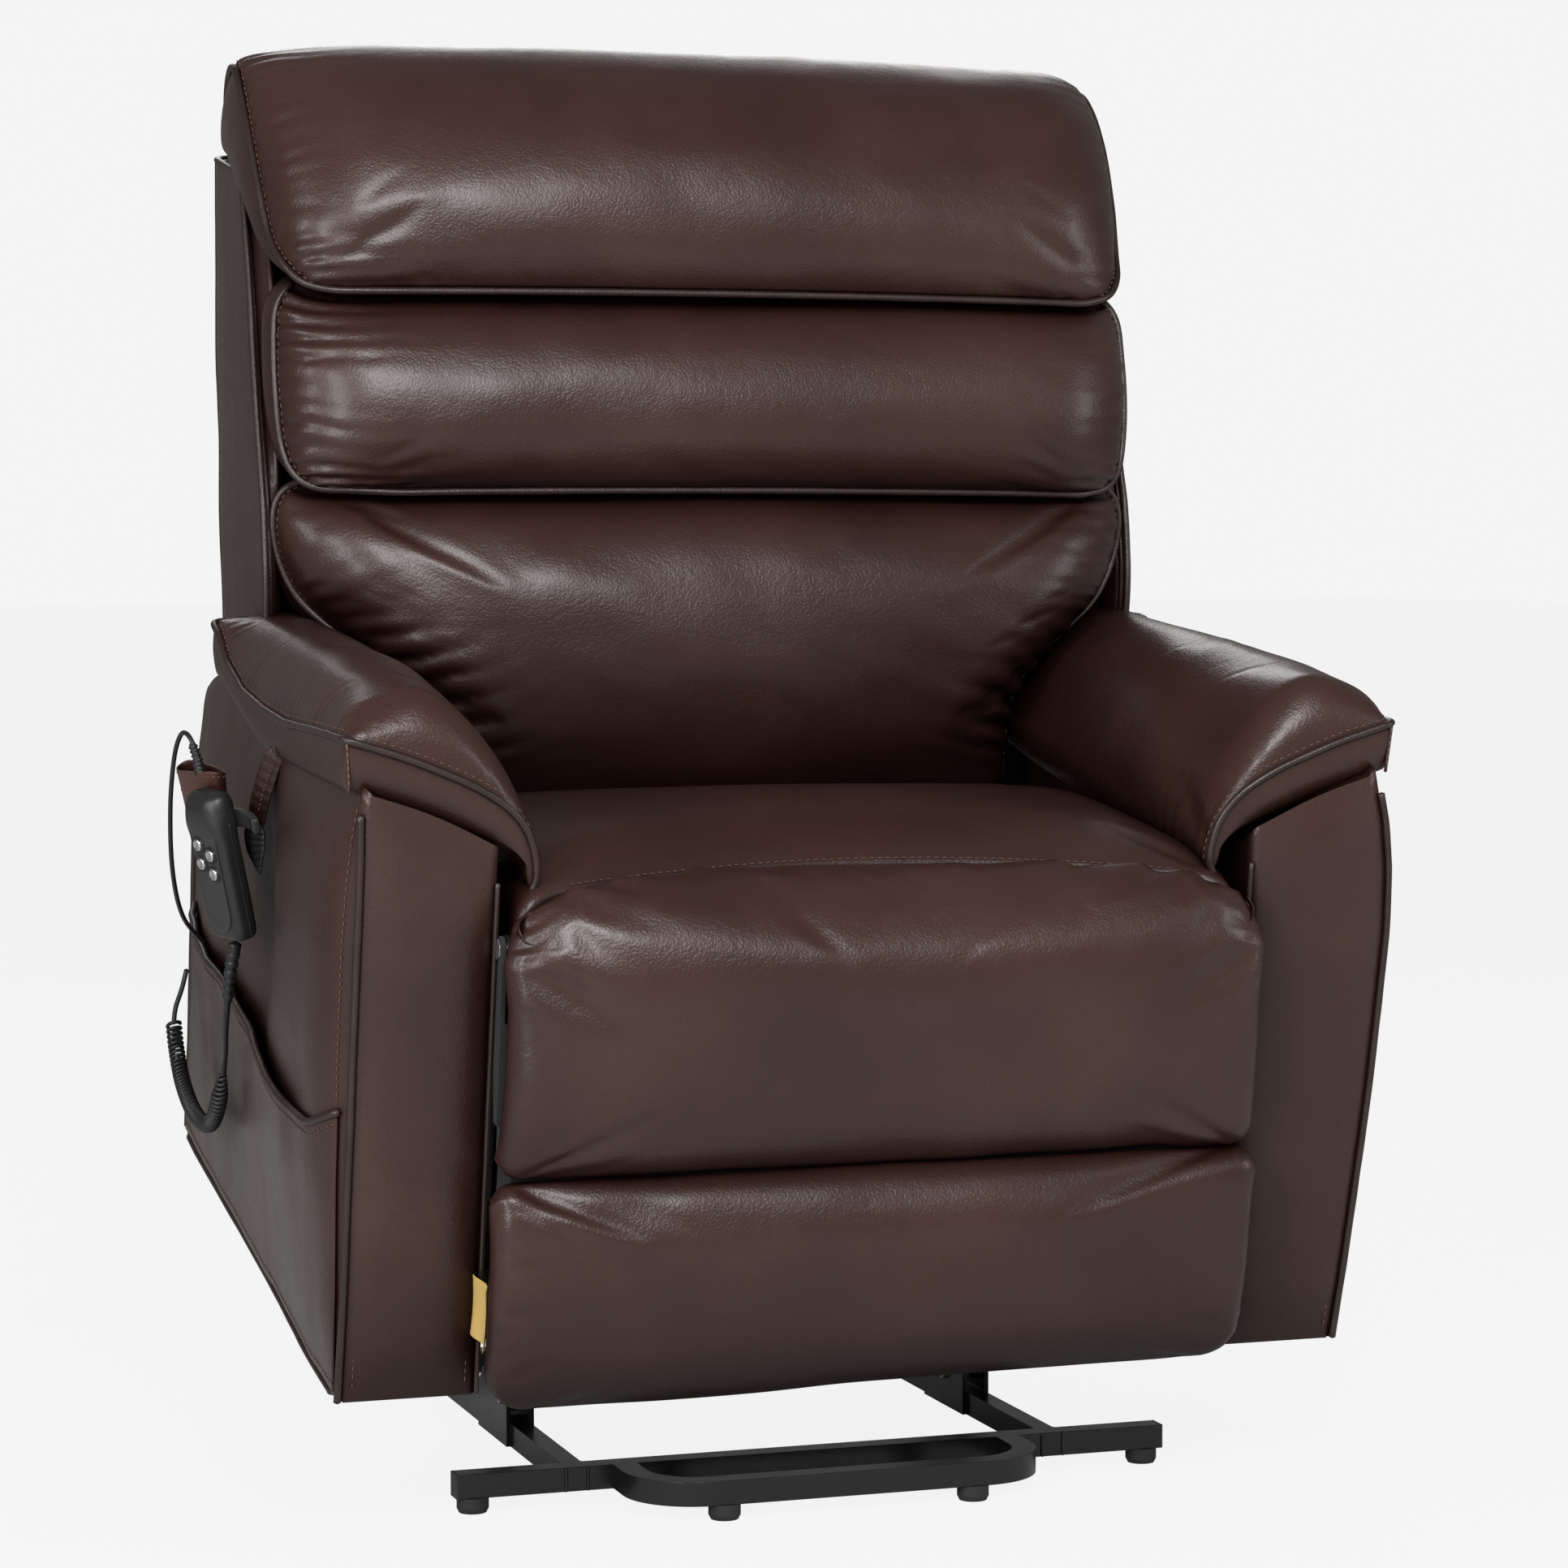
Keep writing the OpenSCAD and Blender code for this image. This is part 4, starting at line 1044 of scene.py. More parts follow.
def finish_pillow(pillow, node, seed, heights, gathers=(), bottom_piping=True):
    """heights: of the folds at the left, right and bottom seams; gathers: left, right"""
    left, right, bottom, top = pillow.seam_distances()
    side = np.minimum(left, right)
    travel = pucker(bottom, left, spacing=20.0, reach=92.0, height=heights[0], seed=seed)
    travel += pucker(bottom, right, spacing=21.0, reach=66.0, height=heights[1], seed=seed + 4)
    travel += (pucker(left, bottom, spacing=24.0, reach=30.0, height=heights[2], seed=seed + 8)
               * (0.4 + 0.6 * ease(160, 40, side)))
    for index, (depth, height) in enumerate(zip((left, right), gathers)):
        travel += corner_gathers(depth, bottom, height, seed + 20 + index)
    broad = (2.2 * noise(left / 150.0, bottom / 75.0, seed + 13)
             + 0.8 * noise(left / 47.0, bottom / 36.0, seed + 14))
    travel += broad * quarter(side, 60) * quarter(np.minimum(bottom, top), 40)
    pillow.push(travel, (0, -1, 0.3))
    subdivide(pillow.object)
    cover(pillow.object, node, "back")

    name = pillow.object.name
    left_seam = pillow.edge("first column") + np.array([-1.6, -2.6, 0])
    right_seam = pillow.edge("last column") + np.array([1.6, -2.6, 0])
    if bottom_piping:
        bottom_seam = pillow.edge("first row") + np.array([0, -4.0, -1.0])
        path = np.vstack([left_seam[::-1][:-1], bottom_seam[1:-1], right_seam])
        welts = {"_piping": path}
    else:                                  # only above the seat
        welts = {"_piping_l": left_seam[left_seam[:, 2] > 488],
                 "_piping_r": right_seam[right_seam[:, 2] > 488]}
    parts = [piping(name + suffix, path, 3.6, wobble=0.06, seed=seed)
             for suffix, path in welts.items()]
    for suffix, edge in (("_stitch_l", "first column"), ("_stitch_r", "last column")):
        line = pillow.edge(edge, 6.5)[3:-2]
        parts.append(stitches(name + suffix, line, pitch=STITCH_PITCH))
    attach(parts, "back")


# ------------------------------------------------------------------ seat, flap and footrest
SEAT_HALF_WIDTH = 333
SEAT_ROWS, SEAT_COLUMNS = 52, 78
FLAP_ROWS, FOOTREST_ROWS, FRONT_COLUMNS = 70, 54, 88
# (y, z) of the flap's section at the middle: its top behind the roll, then down to the crease
FLAP_TOP = ((54, 449), (42, 457), (28, 461), (8, 462), (-10, 459), (-24, 453))
FLAP_FRONT = ((-42, 440), (-59, 413), (-65, 380), (-68, 340), (-70, 300), (-68, 258),
              (-61, 228), (-48, 211), (-38, 207))
# (z, half width) and (z, thickness)
FLAP_WIDTH = ((200, 349), (215, 351), (240, 349), (300, 347), (360, 346), (400, 350),
              (430, 343), (460, 334))
FLAP_THICKNESS = ((205, 14), (215, 26), (240, 36), (400, 34), (460, 50))
# (y, z) from the crease down
FOOTREST_PROFILE = ((-36, 206), (-47, 205), (-60, 196), (-67, 172), (-70, 130), (-69, 85),
                    (-65, 45), (-57, 18), (-46, 4), (-36, 0))
FOOTREST_WIDTH = ((0, 332), (4, 341), (12, 348), (30, 352.5), (60, 353), (150, 353), (200, 356),
                  (206, 354))
FOOTREST_THICKNESS = ((0, 12), (10, 24), (40, 40), (170, 42), (198, 24), (206, 12))


def seat_seam_y(x):
    """y of the seam between the seat and its front roll"""
    return float(np.maximum(54.0 - 62.0 * (np.abs(x) / 313.0) ** 2.2, -12.0))


def make_seat():
    face = np.zeros((SEAT_ROWS + 1, SEAT_COLUMNS + 1, 3))
    under = np.zeros_like(face)
    for j, x in enumerate(np.linspace(-SEAT_HALF_WIDTH, SEAT_HALF_WIDTH, SEAT_COLUMNS + 1)):
        seam = seat_seam_y(x)
        y, z = curve([(seam, 449), (seam + 14, 458), (seam + 60, 466), (seam + 140, 464),
                      (300, 450), (400, 428), (455, 408), (472, 390)], SEAT_ROWS + 1).T
        drop = 26 * (1 - float(quarter(SEAT_HALF_WIDTH - abs(x), 60)))
        crown = 4 * (1 - (x / SEAT_HALF_WIDTH) ** 2)
        face[:, j] = np.c_[np.full(len(y), x), y, z - drop + crown]
        under[:, j] = np.c_[np.full(len(y), x * 0.99), y, np.full(len(y), 340)]
    return Cushion("seat_rear_panel", face, under, gusset_steps=4, sim=(2.5, 12.0))


def forward_normals(profile):
    """unit normals of a (y, z) profile that point to the front at its middle"""
    slope = np.gradient(profile, axis=0)
    slope /= np.linalg.norm(slope, axis=1)[:, None]
    normals = np.c_[-slope[:, 1], slope[:, 0]]
    return -normals if normals[(len(profile) - 1) // 2, 0] > 0 else normals


def make_flap():
    """front roll and upper front panel in one skin"""
    face = np.zeros((FLAP_ROWS + 1, FRONT_COLUMNS + 1, 3))
    back = np.zeros_like(face)
    for j, u in enumerate(crowd_edges(FRONT_COLUMNS, 0.15)):
        seam = seat_seam_y(u * 340)
        start = (seam, 450 - 0.3 * max(0.0, 8 - seam))
        top = [point for point in FLAP_TOP if point[0] < seam - 8]
        profile = curve([start, *top, *FLAP_FRONT], FLAP_ROWS + 1)
        normals = forward_normals(profile)
        y, z = profile.T
        width = lookup(z, FLAP_WIDTH)
        width = np.where(y > -4, np.minimum(width, 334), width)
        radius = lookup(z, ((370, 26), (425, 60)))
        inset = lookup(z, ((370, 21), (425, 27))) * (1 - quarter((1 - abs(u)) * 346, radius))
        thickness = np.maximum(lookup(z, FLAP_THICKNESS) - inset * 0.2, 8)
        face[:, j, 0] = u * width
        face[:, j, 1:] = profile - normals * inset[:, None]
        back[:, j, 0] = u * width * 0.985
        back[:, j, 1:] = profile - normals * thickness[:, None]
    return Cushion("seat_front_panel", face, back, gusset_steps=3, sim=(3.0, 12.0))


def make_footrest():
    """panel below the crease"""
    face = np.zeros((FOOTREST_ROWS + 1, FRONT_COLUMNS + 1, 3))
    back = np.zeros_like(face)
    profile = curve(FOOTREST_PROFILE, FOOTREST_ROWS + 1)
    normals = forward_normals(profile)
    y, z = profile.T
    width = lookup(z, FOOTREST_WIDTH)
    thickness = lookup(z, FOOTREST_THICKNESS)
    for j, u in enumerate(crowd_edges(FRONT_COLUMNS, 0.15)):
        inset = 19 * (1 - quarter((1 - abs(u)) * 350, 24))
        face[:, j, 0] = u * width
        face[:, j, 1:] = profile - normals * inset
        face[:, j, 2] += 5.0 * u * lookup(z, ((0, 1), (60, 0)))
        back[:, j, 0] = u * width * 0.985
        back[:, j, 1] = np.minimum(y - normals[:, 0] * thickness, -23.0)
        back[:, j, 2] = z - normals[:, 1] * np.minimum(thickness, 14)
    return Cushion("footrest_panel", face, back, gusset_steps=3, sim=(3.0, 12.0))


def blend(item):
    """bakes the object's placement into its mesh"""
    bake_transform(item)


def finish_seat(seat):
    left, right, front, _ = seat.seam_distances()
    travel = (1.8 * noise(left / 170.0, front / 120.0, 201) * quarter(np.minimum(left, right), 60)
              + pucker(left, front, spacing=40.0, reach=25.0, height=1.0, seed=203))
    for depth, seed in ((left, 204), (right, 205)):
        travel += pucker(front, depth, spacing=30.0, reach=34.0, height=1.6, seed=seed)
    seat.push(travel, (0, 0, 1))
    subdivide(seat.object)
    cover(seat.object, "seat_cushion", "seat")
    line = seat.edge("first row", 5.5)[6:-6] + np.array([0, 0, 0.4])
    attach([stitches("seat_seam_stitch", line, pitch=STITCH_PITCH)], "seat")


def finish_flap(flap):
    left, right, top, _ = flap.seam_distances()
    side = np.minimum(left, right)
    z = flap.face()[:, :, 2]
    roll = 0.25 + 0.75 * ease(330, 400, z)
    travel = pucker(top, left, spacing=17.0, reach=30.0, height=7.0, seed=210, soft=3.0) * roll
    travel += pucker(top, right, spacing=19.0, reach=28.0, height=5.0, seed=214, soft=3.0) * roll
    # soft drag lines that run out of the crease, stronger towards its ends
    travel += (np.exp(-((z - 222) / 22.0) ** 2) * 4.5
               * noise((left + 0.8 * (z - 210)) / 55.0, z / 60.0, 218)
               * (0.35 + 0.65 * ease(240, 20, side)))
    travel += (1.6 * noise(left / 190.0, z / 60.0, 219)
               + 0.7 * noise(left / 70.0, z / 40.0, 220)) * quarter(side, 50)
    flap.push(travel, (0, -1, 0.4))
    subdivide(flap.object)
    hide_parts("flap_pad")
    blend(flap.object)


def finish_footrest(footrest):
    left, right, top, _ = footrest.seam_distances()
    side = np.minimum(left, right)
    z = footrest.face()[:, :, 2]
    travel = (np.exp(-((z - 196) / 20.0) ** 2) * 4.0
              * noise((left - 0.6 * (z - 200)) / 52.0, z / 60.0, 228)
              * (0.3 + 0.7 * ease(240, 20, side)))
    for depth, seed in ((left, 230), (right, 234)):
        travel += pucker(top, depth, spacing=24.0, reach=24.0, height=3.6, seed=seed, soft=3.0)
    travel += (1.5 * noise(left / 200.0, z / 70.0, 236)
               + 0.6 * noise(left / 80.0, z / 50.0, 237)) * quarter(side, 50)
    footrest.push(travel, (0, -1, 0))
    subdivide(footrest.object)
    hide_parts("footrest_pad")
    blend(footrest.object)


def make_seat_lining():
    """dark sheet that closes the gap between the seat's rear edge and the back"""
    # (y, z) from the seat up to the back
    path = curve([(474, 368), (492, 374), (512, 390), (527, 412), (535, 442), (541, 484)], 26)
    grid = [[(x, y + 1.5 * float(noise(x / 50.0, z / 40.0, 240)), z)
             for x in np.linspace(-298, 298, 48)] for y, z in path]
    lining = sheet("seat_to_back_lining", grid, (0, 2.5, -1.0), LINING).object
    blend(lining)


# ------------------------------------------------------------------ back shell
BACK_HALF_WIDTH, BACK_CORNER = 440.0, 22
BACK_TOP, BACK_BOTTOM = 974.0, 524.0
BACK_ROWS = 46
# (z, y) of the side panels' front edge and of the rear
BACK_FRONT = ((470, 540), (524, 543), (596, 546), (620, 550), (684, 571), (760, 612), (914, 691),
              (963, 717), (985, 728))
BACK_REAR = ((300, 738), (524, 776), (575, 791), (730, 834), (890, 866), (968, 880), (985, 882))
# (share of the way to the rear, z) of the side panels' lower edge
BACK_SIDE_BOTTOM = ((0, 566), (0.25, 546), (1, 524))
# (z, y) of the pillows' side piping
BACK_GUSSET_FRONT = ((560, 560), (628, 562), (700, 572), (760, 590), (880, 628), (968, 680))


def back_ring(b, inset=0.0):
    """a line round the back from the left front edge to the right, at height share b"""
    half = BACK_HALF_WIDTH - inset
    corner = BACK_CORNER
    bulge = math.sin(math.pi * b)
    points = []
    for t in np.linspace(0, 1, 22)[:-1]:
        bottom = float(lookup(t, BACK_SIDE_BOTTOM))
        z = bottom + (BACK_TOP - bottom) * b
        front, rear = float(lookup(z, BACK_FRONT)), float(lookup(z, BACK_REAR)) - inset
        x = half + 4.0 * math.sin(math.pi * t) * bulge
        points.append((-x, front + (rear - corner - front) * t, z))
    z = BACK_BOTTOM + (BACK_TOP - BACK_BOTTOM) * b
    rear = float(lookup(z, BACK_REAR)) - inset
    for angle in np.linspace(0, math.pi / 2, 8):
        points.append((-(half - corner + corner * math.cos(angle)),
                       rear - corner + corner * math.sin(angle), z))
    mirrored = np.array(points)[::-1] * np.array([-1, 1, 1])
    for x in np.linspace(-(half - corner), half - corner, 62)[1:-1]:
        points.append((x, rear + 9.0 * (1 - (x / 420.0) ** 2) * bulge, z))
    return np.vstack([points, mirrored])


def back_gusset(hand):
    """strip between the pillows' side piping and a side panel"""
    rows = []
    for z in np.linspace(540, 968, 50):
        rear = float(lookup(z, BACK_FRONT)) + 4
        front = lookup(z, BACK_GUSSET_FRONT) + 6
        rows.append([(hand * (428 + 9 * q), front + (rear - front) * q, z)
                     for q in np.linspace(0, 1, 6)])
    return sheet("back_gusset_" + TAGS[hand], rows, (-hand * 5, 0, 0)).object


def make_back():
    shares = np.linspace(0, 1, BACK_ROWS + 1)
    outside = np.array([back_ring(b) for b in shares])
    inside = np.array([back_ring(b, 7.0) for b in shares])
    run = along(outside[BACK_ROWS // 2])
    for i, ring in enumerate(outside):
        wave = (1.6 * noise(run / 80.0, i / 9.0, 250)
                + noise(run / 24.0, i / 20.0, 251) * (1 - ease(0, 12, i)))
        slope = np.gradient(ring, axis=0)
        normals = np.c_[slope[:, 1], -slope[:, 0]]
        normals /= np.linalg.norm(normals, axis=1)[:, None]
        ring[:, :2] += normals * wave[:, None] * math.sin(math.pi * i / BACK_ROWS) ** 0.5
    back = Cushion("back_shell", outside, inside, gusset_steps=2)
    subdivide(back.object)
    cover(back.object, "back_cover", "back")

    parts = []
    for hand, column, corner, edge in ((LEFT, 0, 24, "first column"),
                                       (RIGHT, -1, -25, "last column")):
        tag = TAGS[hand]
        parts.append(piping("back_front_welt_" + tag,
                            outside[:, column] + np.array([hand * 1.0, -1.5, 0]),
                            3.3, wobble=0.06, seed=3))
        for inset in (6, 11):
            parts.append(stitches("back_side_stitch_%s_%d" % (tag, inset),
                                  back.edge(edge, inset)[1:-1] + np.array([hand * 0.4, 0, 0])))
        parts.append(piping("back_corner_welt_" + tag,
                            outside[:, corner] + np.array([hand * 1.2, 1.0, 0]),
                            3.0, wobble=0.06, seed=4))
    board = [[(x, y, 972 + 3 * (1 - (x / 430) ** 2)) for x in np.linspace(-434, 434, 50)]
             for y in np.linspace(722, 876, 14)]
    # the lining behind the pillows takes the darker leather copy, which paints its shade
    lining = [[(x, 594 + (z - 620) * 0.42, z) for x in np.linspace(-430, 430, 40)]
              for z in np.linspace(600, 966, 24)]
    parts += [
        piping("back_top_welt", outside[-1], 3.2, wobble=0.05, seed=9),
        piping("back_bottom_hem", outside[0], 3.4, wobble=0.05, seed=9),
        stitches("back_top_stitch", back.edge("last row", 8.0)[30:-30] + np.array([0, 0.5, 0])),
        stitches("back_hem_stitch", back.edge("first row", 12.0)[30:-30] + np.array([0, 0.6, 0])),
        sheet("back_top_cover", board, (0, 0, -6)).object,
        sheet("back_front_lining", lining, (0, 5, 0), LEATHER_SHADED_COPY).object,
        back_gusset(LEFT),
        back_gusset(RIGHT),
    ]
    # lower rear panel between the arms
    low, high, half = 300, BACK_BOTTOM, 332
    grid = []
    for z in np.linspace(low, 534, 24):
        bulge = 4 * math.sin(math.pi * (z - low) / (high - low))
        grid.append([(x, float(lookup(z, BACK_REAR)) + 2 + bulge * (1 - (x / half) ** 2)
                      + 1.5 * float(noise(x / 60.0, z / 90.0, 260)), z)
                     for x in np.linspace(-half, half, 50)])
    panel = sheet("back_lower_panel", grid, (0, -6, 0))
    line = panel.edge("first row", 10)[1:-1] + np.array([0, 0.6, 0])
    attach(parts + [panel.object, stitches("back_lower_stitch", line)], "back")


# ------------------------------------------------------------------ gussets, apron and pocket
def make_gap_gusset(hand):
    """black cloth beside the front cross tube"""
    grid = [[(hand * x, 79 + 1.4 * math.sin(x / 5.0) * (148 - z) / 70.0, z)
             for x in np.linspace(313, 345.5, 14)] for z in np.linspace(76, 146, 18)]
    attach([sheet("gap_gusset_" + TAGS[hand], grid, (0, 1.8, 0), LINING).object], "chassis")


def make_rear_apron():
    grid = [[(x, 746 + 3.0 * math.sin(x / 52.0) * (1 - (z - 40) / 195.0)
              + 1.5 * float(noise(x / 40.0, z / 80.0, 270)), z)
             for x in np.linspace(-340, 340, 60)] for z in np.linspace(40, 236, 24)]
    apron = sheet("rear_apron_skirt", grid, (0, -5, 0))
    subdivide(apron.object)
    cover(apron.object, "rear_apron", "chassis")
    line = apron.edge("first row", 11) + np.array([0, 0.7, 0])
    attach([
        piping("rear_apron_hem", apron.edge("first row"), 3.0),
        stitches("rear_apron_stitch", line),
    ], "chassis")


POCKET_ROWS, POCKET_COLUMNS = 40, 90
POCKET_FRONT_Y, POCKET_REAR_Y, POCKET_BOTTOM = 6, 742, 5
# (y, z) of the pocket's mouth
POCKET_TOP = ((0, 262), (20, 250), (45, 237), (95, 233), (250, 239), (520, 240), (742, 238))
# (z, y) of its rear limit
POCKET_REAR = ((0, 728), (120, 750), (243, 766))


def make_side_pocket():
    """open pocket on the outer side of the left arm"""
    stations = np.linspace(POCKET_FRONT_Y, POCKET_REAR_Y, POCKET_COLUMNS + 1)
    top = lookup(stations, POCKET_TOP)
    run = np.clip((stations - POCKET_FRONT_Y) / (POCKET_REAR_Y - POCKET_FRONT_Y), 0, 1)
    gate = ease(6, 60, stations) * (1 - ease(690, 742, stations))
    rows = []
    for i in range(POCKET_ROWS + 1):
        b = i / POCKET_ROWS
        z = POCKET_BOTTOM + (top - POCKET_BOTTOM) * b
        y = np.minimum(stations, lookup(z, POCKET_REAR))
        gape = 9.5 * (b ** 2.2) * np.sin(np.pi * run) ** 0.6
        fold = (2.2 * noise(stations / 44.0, b * 1.2, 281)
                + 1.6 * noise(stations / 95.0, b * 0.8, 282)) * (0.35 + 0.65 * b) * gate
        rows.append(np.c_[-(arm_outer(y, z, LEFT) + 2.6 + gape + fold), y, z])
    pocket = sheet("side_pocket_panel", rows, (2.2, 0, 0))
    subdivide(pocket.object)
    cover(pocket.object, "side_pocket", "chassis")
    outward = np.array([-0.7, 0, 0])
    attach([
        piping("side_pocket_welt", pocket.edge("last row") + np.array([0.6, 0, 1.0]), 3.6,
               wobble=0.06, seed=5),
        stitches("side_pocket_stitch", pocket.edge("last row", 9.0) + outward),
        stitches("side_pocket_stitch_low", pocket.edge("first row", 9.0) + outward),
    ], "chassis")


# ------------------------------------------------------------------ handset
# In the handset frame z runs up the case, y across it and -x out of the keypad.
# case stations: z, x of the keypad side, x of the rear, half width, corner radius
CASE_STATIONS = (
    (0.0, 4.0, 20.0, 20.0, 7.5), (1.2, 2.0, 22.0, 23.0, 8.5), (4.0, 0.6, 23.6, 25.5, 9.0),
    (10, 0.0, 24.0, 26.6, 9.0), (40, 0.0, 24.0, 27.0, 8.5), (80, 0.0, 24.0, 27.0, 8.5),
    (98, -0.4, 24.3, 27.0, 9.0), (106, -2.2, 25.5, 27.0, 10.5), (112, -3.8, 27.0, 26.6, 12.5),
    (120, -4.4, 29.0, 26.2, 15.5), (128, -3.6, 29.8, 25.0, 16.0), (134, -0.8, 28.4, 23.4, 14.0),
    (138, 3.6, 25.0, 21.0, 10.0), (140.0, 9.0, 20.0, 16.0, 5.4),
)
PANEL_HALF_WIDTH, PANEL_ARC_Z, PANEL_TOP_Z = 19.5, 28, 104
# (scale of the outline, x)
PANEL_LIP = ((1.0, 0.8), (1.0, -0.9), (0.965, -1.35), (0.90, -1.0), (0.5, -1.1), (0.02, -1.2))
# name, y, z
BUTTONS = (("head_up", 9, 92), ("head_down", -8, 84), ("feet_up", 9, 74), ("feet_down", -8, 66))
# (radius, x)
BUTTON_CAP = ((6.0, 4.5), (6.1, -1.2), (5.9, -2.3), (5.2, -3.2), (4.2, -3.6), (3.6, -3.4),
              (2.2, -3.1), (0.3, -3.0))
BUTTON_SURROUND = ((6.6, 0.5), (8.2, -0.8), (8.0, -1.8), (7.2, -2.1), (6.6, -1.7), (6.5, 0.2))


def handset_loft(name, sections, material, caps=True):
    return loft(name, [from_handset(section) for section in sections], material, caps)


def rounded_rect(half_x, half_y, radius, count):
    """outline with count points on each corner"""
    points = []
    for sx, sy, start in ((1, 1, 0), (-1, 1, 90), (-1, -1, 180), (1, -1, 270)):
        for angle in np.linspace(math.radians(start), math.radians(start + 90), count):
            points.append((sx * (half_x - radius) + radius * math.cos(angle),
                           sy * (half_y - radius) + radius * math.sin(angle)))
    return np.array(points)


def make_handset_case():
    table = np.array(CASE_STATIONS)
    sections = []
    for z in np.linspace(0, 140, 58):
        near, far, half_width, radius = [np.interp(z, table[:, 0], column)
                                         for column in table.T[1:]]
        half_depth = (far - near) / 2
        radius = min(radius, half_depth - 0.2, half_width - 0.2)
        outline = rounded_rect(half_depth, half_width, radius, 7)
        sections.append(np.c_[outline[:, 0] + (near + far) / 2, outline[:, 1],
                              np.full(len(outline), z)])
    case = handset_loft("handset_body", sections, CASE)
    subdivide(case)
    cover(case, "handset_case", "chassis")
    for hand in (RIGHT, LEFT):
        line = from_handset([(13.0, hand * 27.15, z) for z in np.linspace(4, 112, 30)])
        joint = tube("handset_joint_line_" + TAGS[hand], line, 0.55, CASE_DARK, step=3, sides=6)
        attach([joint], "chassis")


def make_handset_panel():
    """inset face panel with a round lower end and a raised lip"""
    half = PANEL_HALF_WIDTH
    outline = [(half, z) for z in np.linspace(PANEL_TOP_Z, PANEL_ARC_Z, 20)]
    for angle in np.linspace(0, math.pi, 26)[1:-1]:
        outline.append((half * math.cos(angle), PANEL_ARC_Z - half * math.sin(angle)))
    outline += [(-half, z) for z in np.linspace(PANEL_ARC_Z, PANEL_TOP_Z, 20)]
    center = np.array([0.0, 62.0])
    sections = []
    for scale, x in PANEL_LIP:
        scaled = (np.array(outline) - center) * scale + center
        sections.append(np.c_[np.full(len(scaled), x), scaled])
    cover(handset_loft("handset_face_panel", sections, INSET), "handset_keypad", "chassis")


def make_buttons():
    angle = np.linspace(0, 2 * math.pi, 36, endpoint=False)

    def discs(profile, y, z, stretch=1.0):
        return [np.c_[np.full(36, x), y + radius * stretch * np.cos(angle),
                      z + radius * np.sin(angle)] for radius, x in profile]

    for name, y, z in BUTTONS:
        node = "button_" + name
        cap = handset_loft(node + "_cap", discs(BUTTON_CAP, y, z), KEY_SILVER)
        subdivide(cap)
        cover(cap, node, "key_" + name)
        surround = handset_loft(node + "_surround", discs(BUTTON_SURROUND, y, z, stretch=1.12),
                                CASE_DARK, caps=False)
        attach([surround], "chassis")


def make_hook():
    """hook on the back of the case"""
    path = curve([(22, -6, 108), (27, -14, 112), (30, -26, 112), (31, -38, 110), (28, -47, 107)],
                 26)
    up = np.array([0, 0, 1.0])
    sections = []
    for i, (point, tangent) in enumerate(zip(path, path_frames(path)[0])):
        t = i / 25
        outline = rounded_rect(2.4 + 1.2 * t, 9.5 - 2.5 * t, 1.9, 5)
        side = np.cross(tangent, up)
        side /= np.linalg.norm(side)
        sections.append(point + outline[:, :1] * side + outline[:, 1:] * up)
    hook = handset_loft("handset_hook", sections, PLASTIC)
    subdivide(hook)
    cover(hook, "handset_clip", "chassis")


def pouch_ring(z, inset):
    """handset-frame outline of the pouch at height z"""
    angle = np.linspace(0, 2 * math.pi, 56, endpoint=False)
    t = z / 150.0
    depth = 3.0 + 7.5 * t ** 1.3 - inset
    half_width = 33.0 - inset - 1.5 * math.sin(math.pi * t)
    cos, sin = np.cos(angle), np.sin(angle)
    x = 28.5 + 5.5 * t + depth * np.sign(cos) * np.abs(cos) ** 0.75
    y = 37.0 + half_width * np.sign(sin) * np.abs(sin) ** 0.6
    x = x + 0.9 * noise(y / 15.0, z / 40.0, 300)
    return np.c_[x, y, z + 2.2 * t ** 8 * np.sin(2 * angle)]


def make_pouch():
    """open leather sleeve behind the handset"""
    heights = np.r_[np.linspace(6, 146, 40), 149, 150]
    sections = [pouch_ring(6, 2.0)]
    sections += [pouch_ring(z, 0.0) for z in heights]
    sections.append(pouch_ring(150.4, 1.2))
    sections += [pouch_ring(z, 1.8) for z in heights[::-1][1:]]
    pouch = handset_loft("pouch_sleeve", sections, LEATHER_RED)
    subdivide(pouch)
    cover(pouch, "handset_pouch", "chassis")
    for z, tag in ((146.0, "a"), (128.0, "b")):
        ring = pouch_ring(z, -0.25)
        line = from_handset(np.vstack([ring, ring[:1]]))
        attach([stitches("pouch_stitch_" + tag, line, pitch=5.5, length=3.6, radius=0.5)],
               "chassis")


def ribbon(name, path, width, across, thickness, material, taper=((0, 1.0), (1, 1.0))):
    """flat strip; across is its width direction, taper is (share of length, share of width)"""
    path = curve(path, 44)
    across = np.asarray(across, float)
    half_thickness = thickness / 2
    sections = []
    for i, (point, tangent) in enumerate(zip(path, path_frames(path)[0])):
        side = across - tangent * (across @ tangent)
        side /= np.linalg.norm(side)
        normal = np.cross(tangent, side)
        half = max(width / 2 * lookup(i / (len(path) - 1), taper), 0.5)
        outline = rounded_rect(half, half_thickness, min(half_thickness, half) - 0.05, 4)
        sections.append(point + outline[:, :1] * side
                        + outline[:, 1:] * normal * (1 + 0.25 * math.sin(i * 1.3)))
    strip = loft(name, sections, material)
    return strip


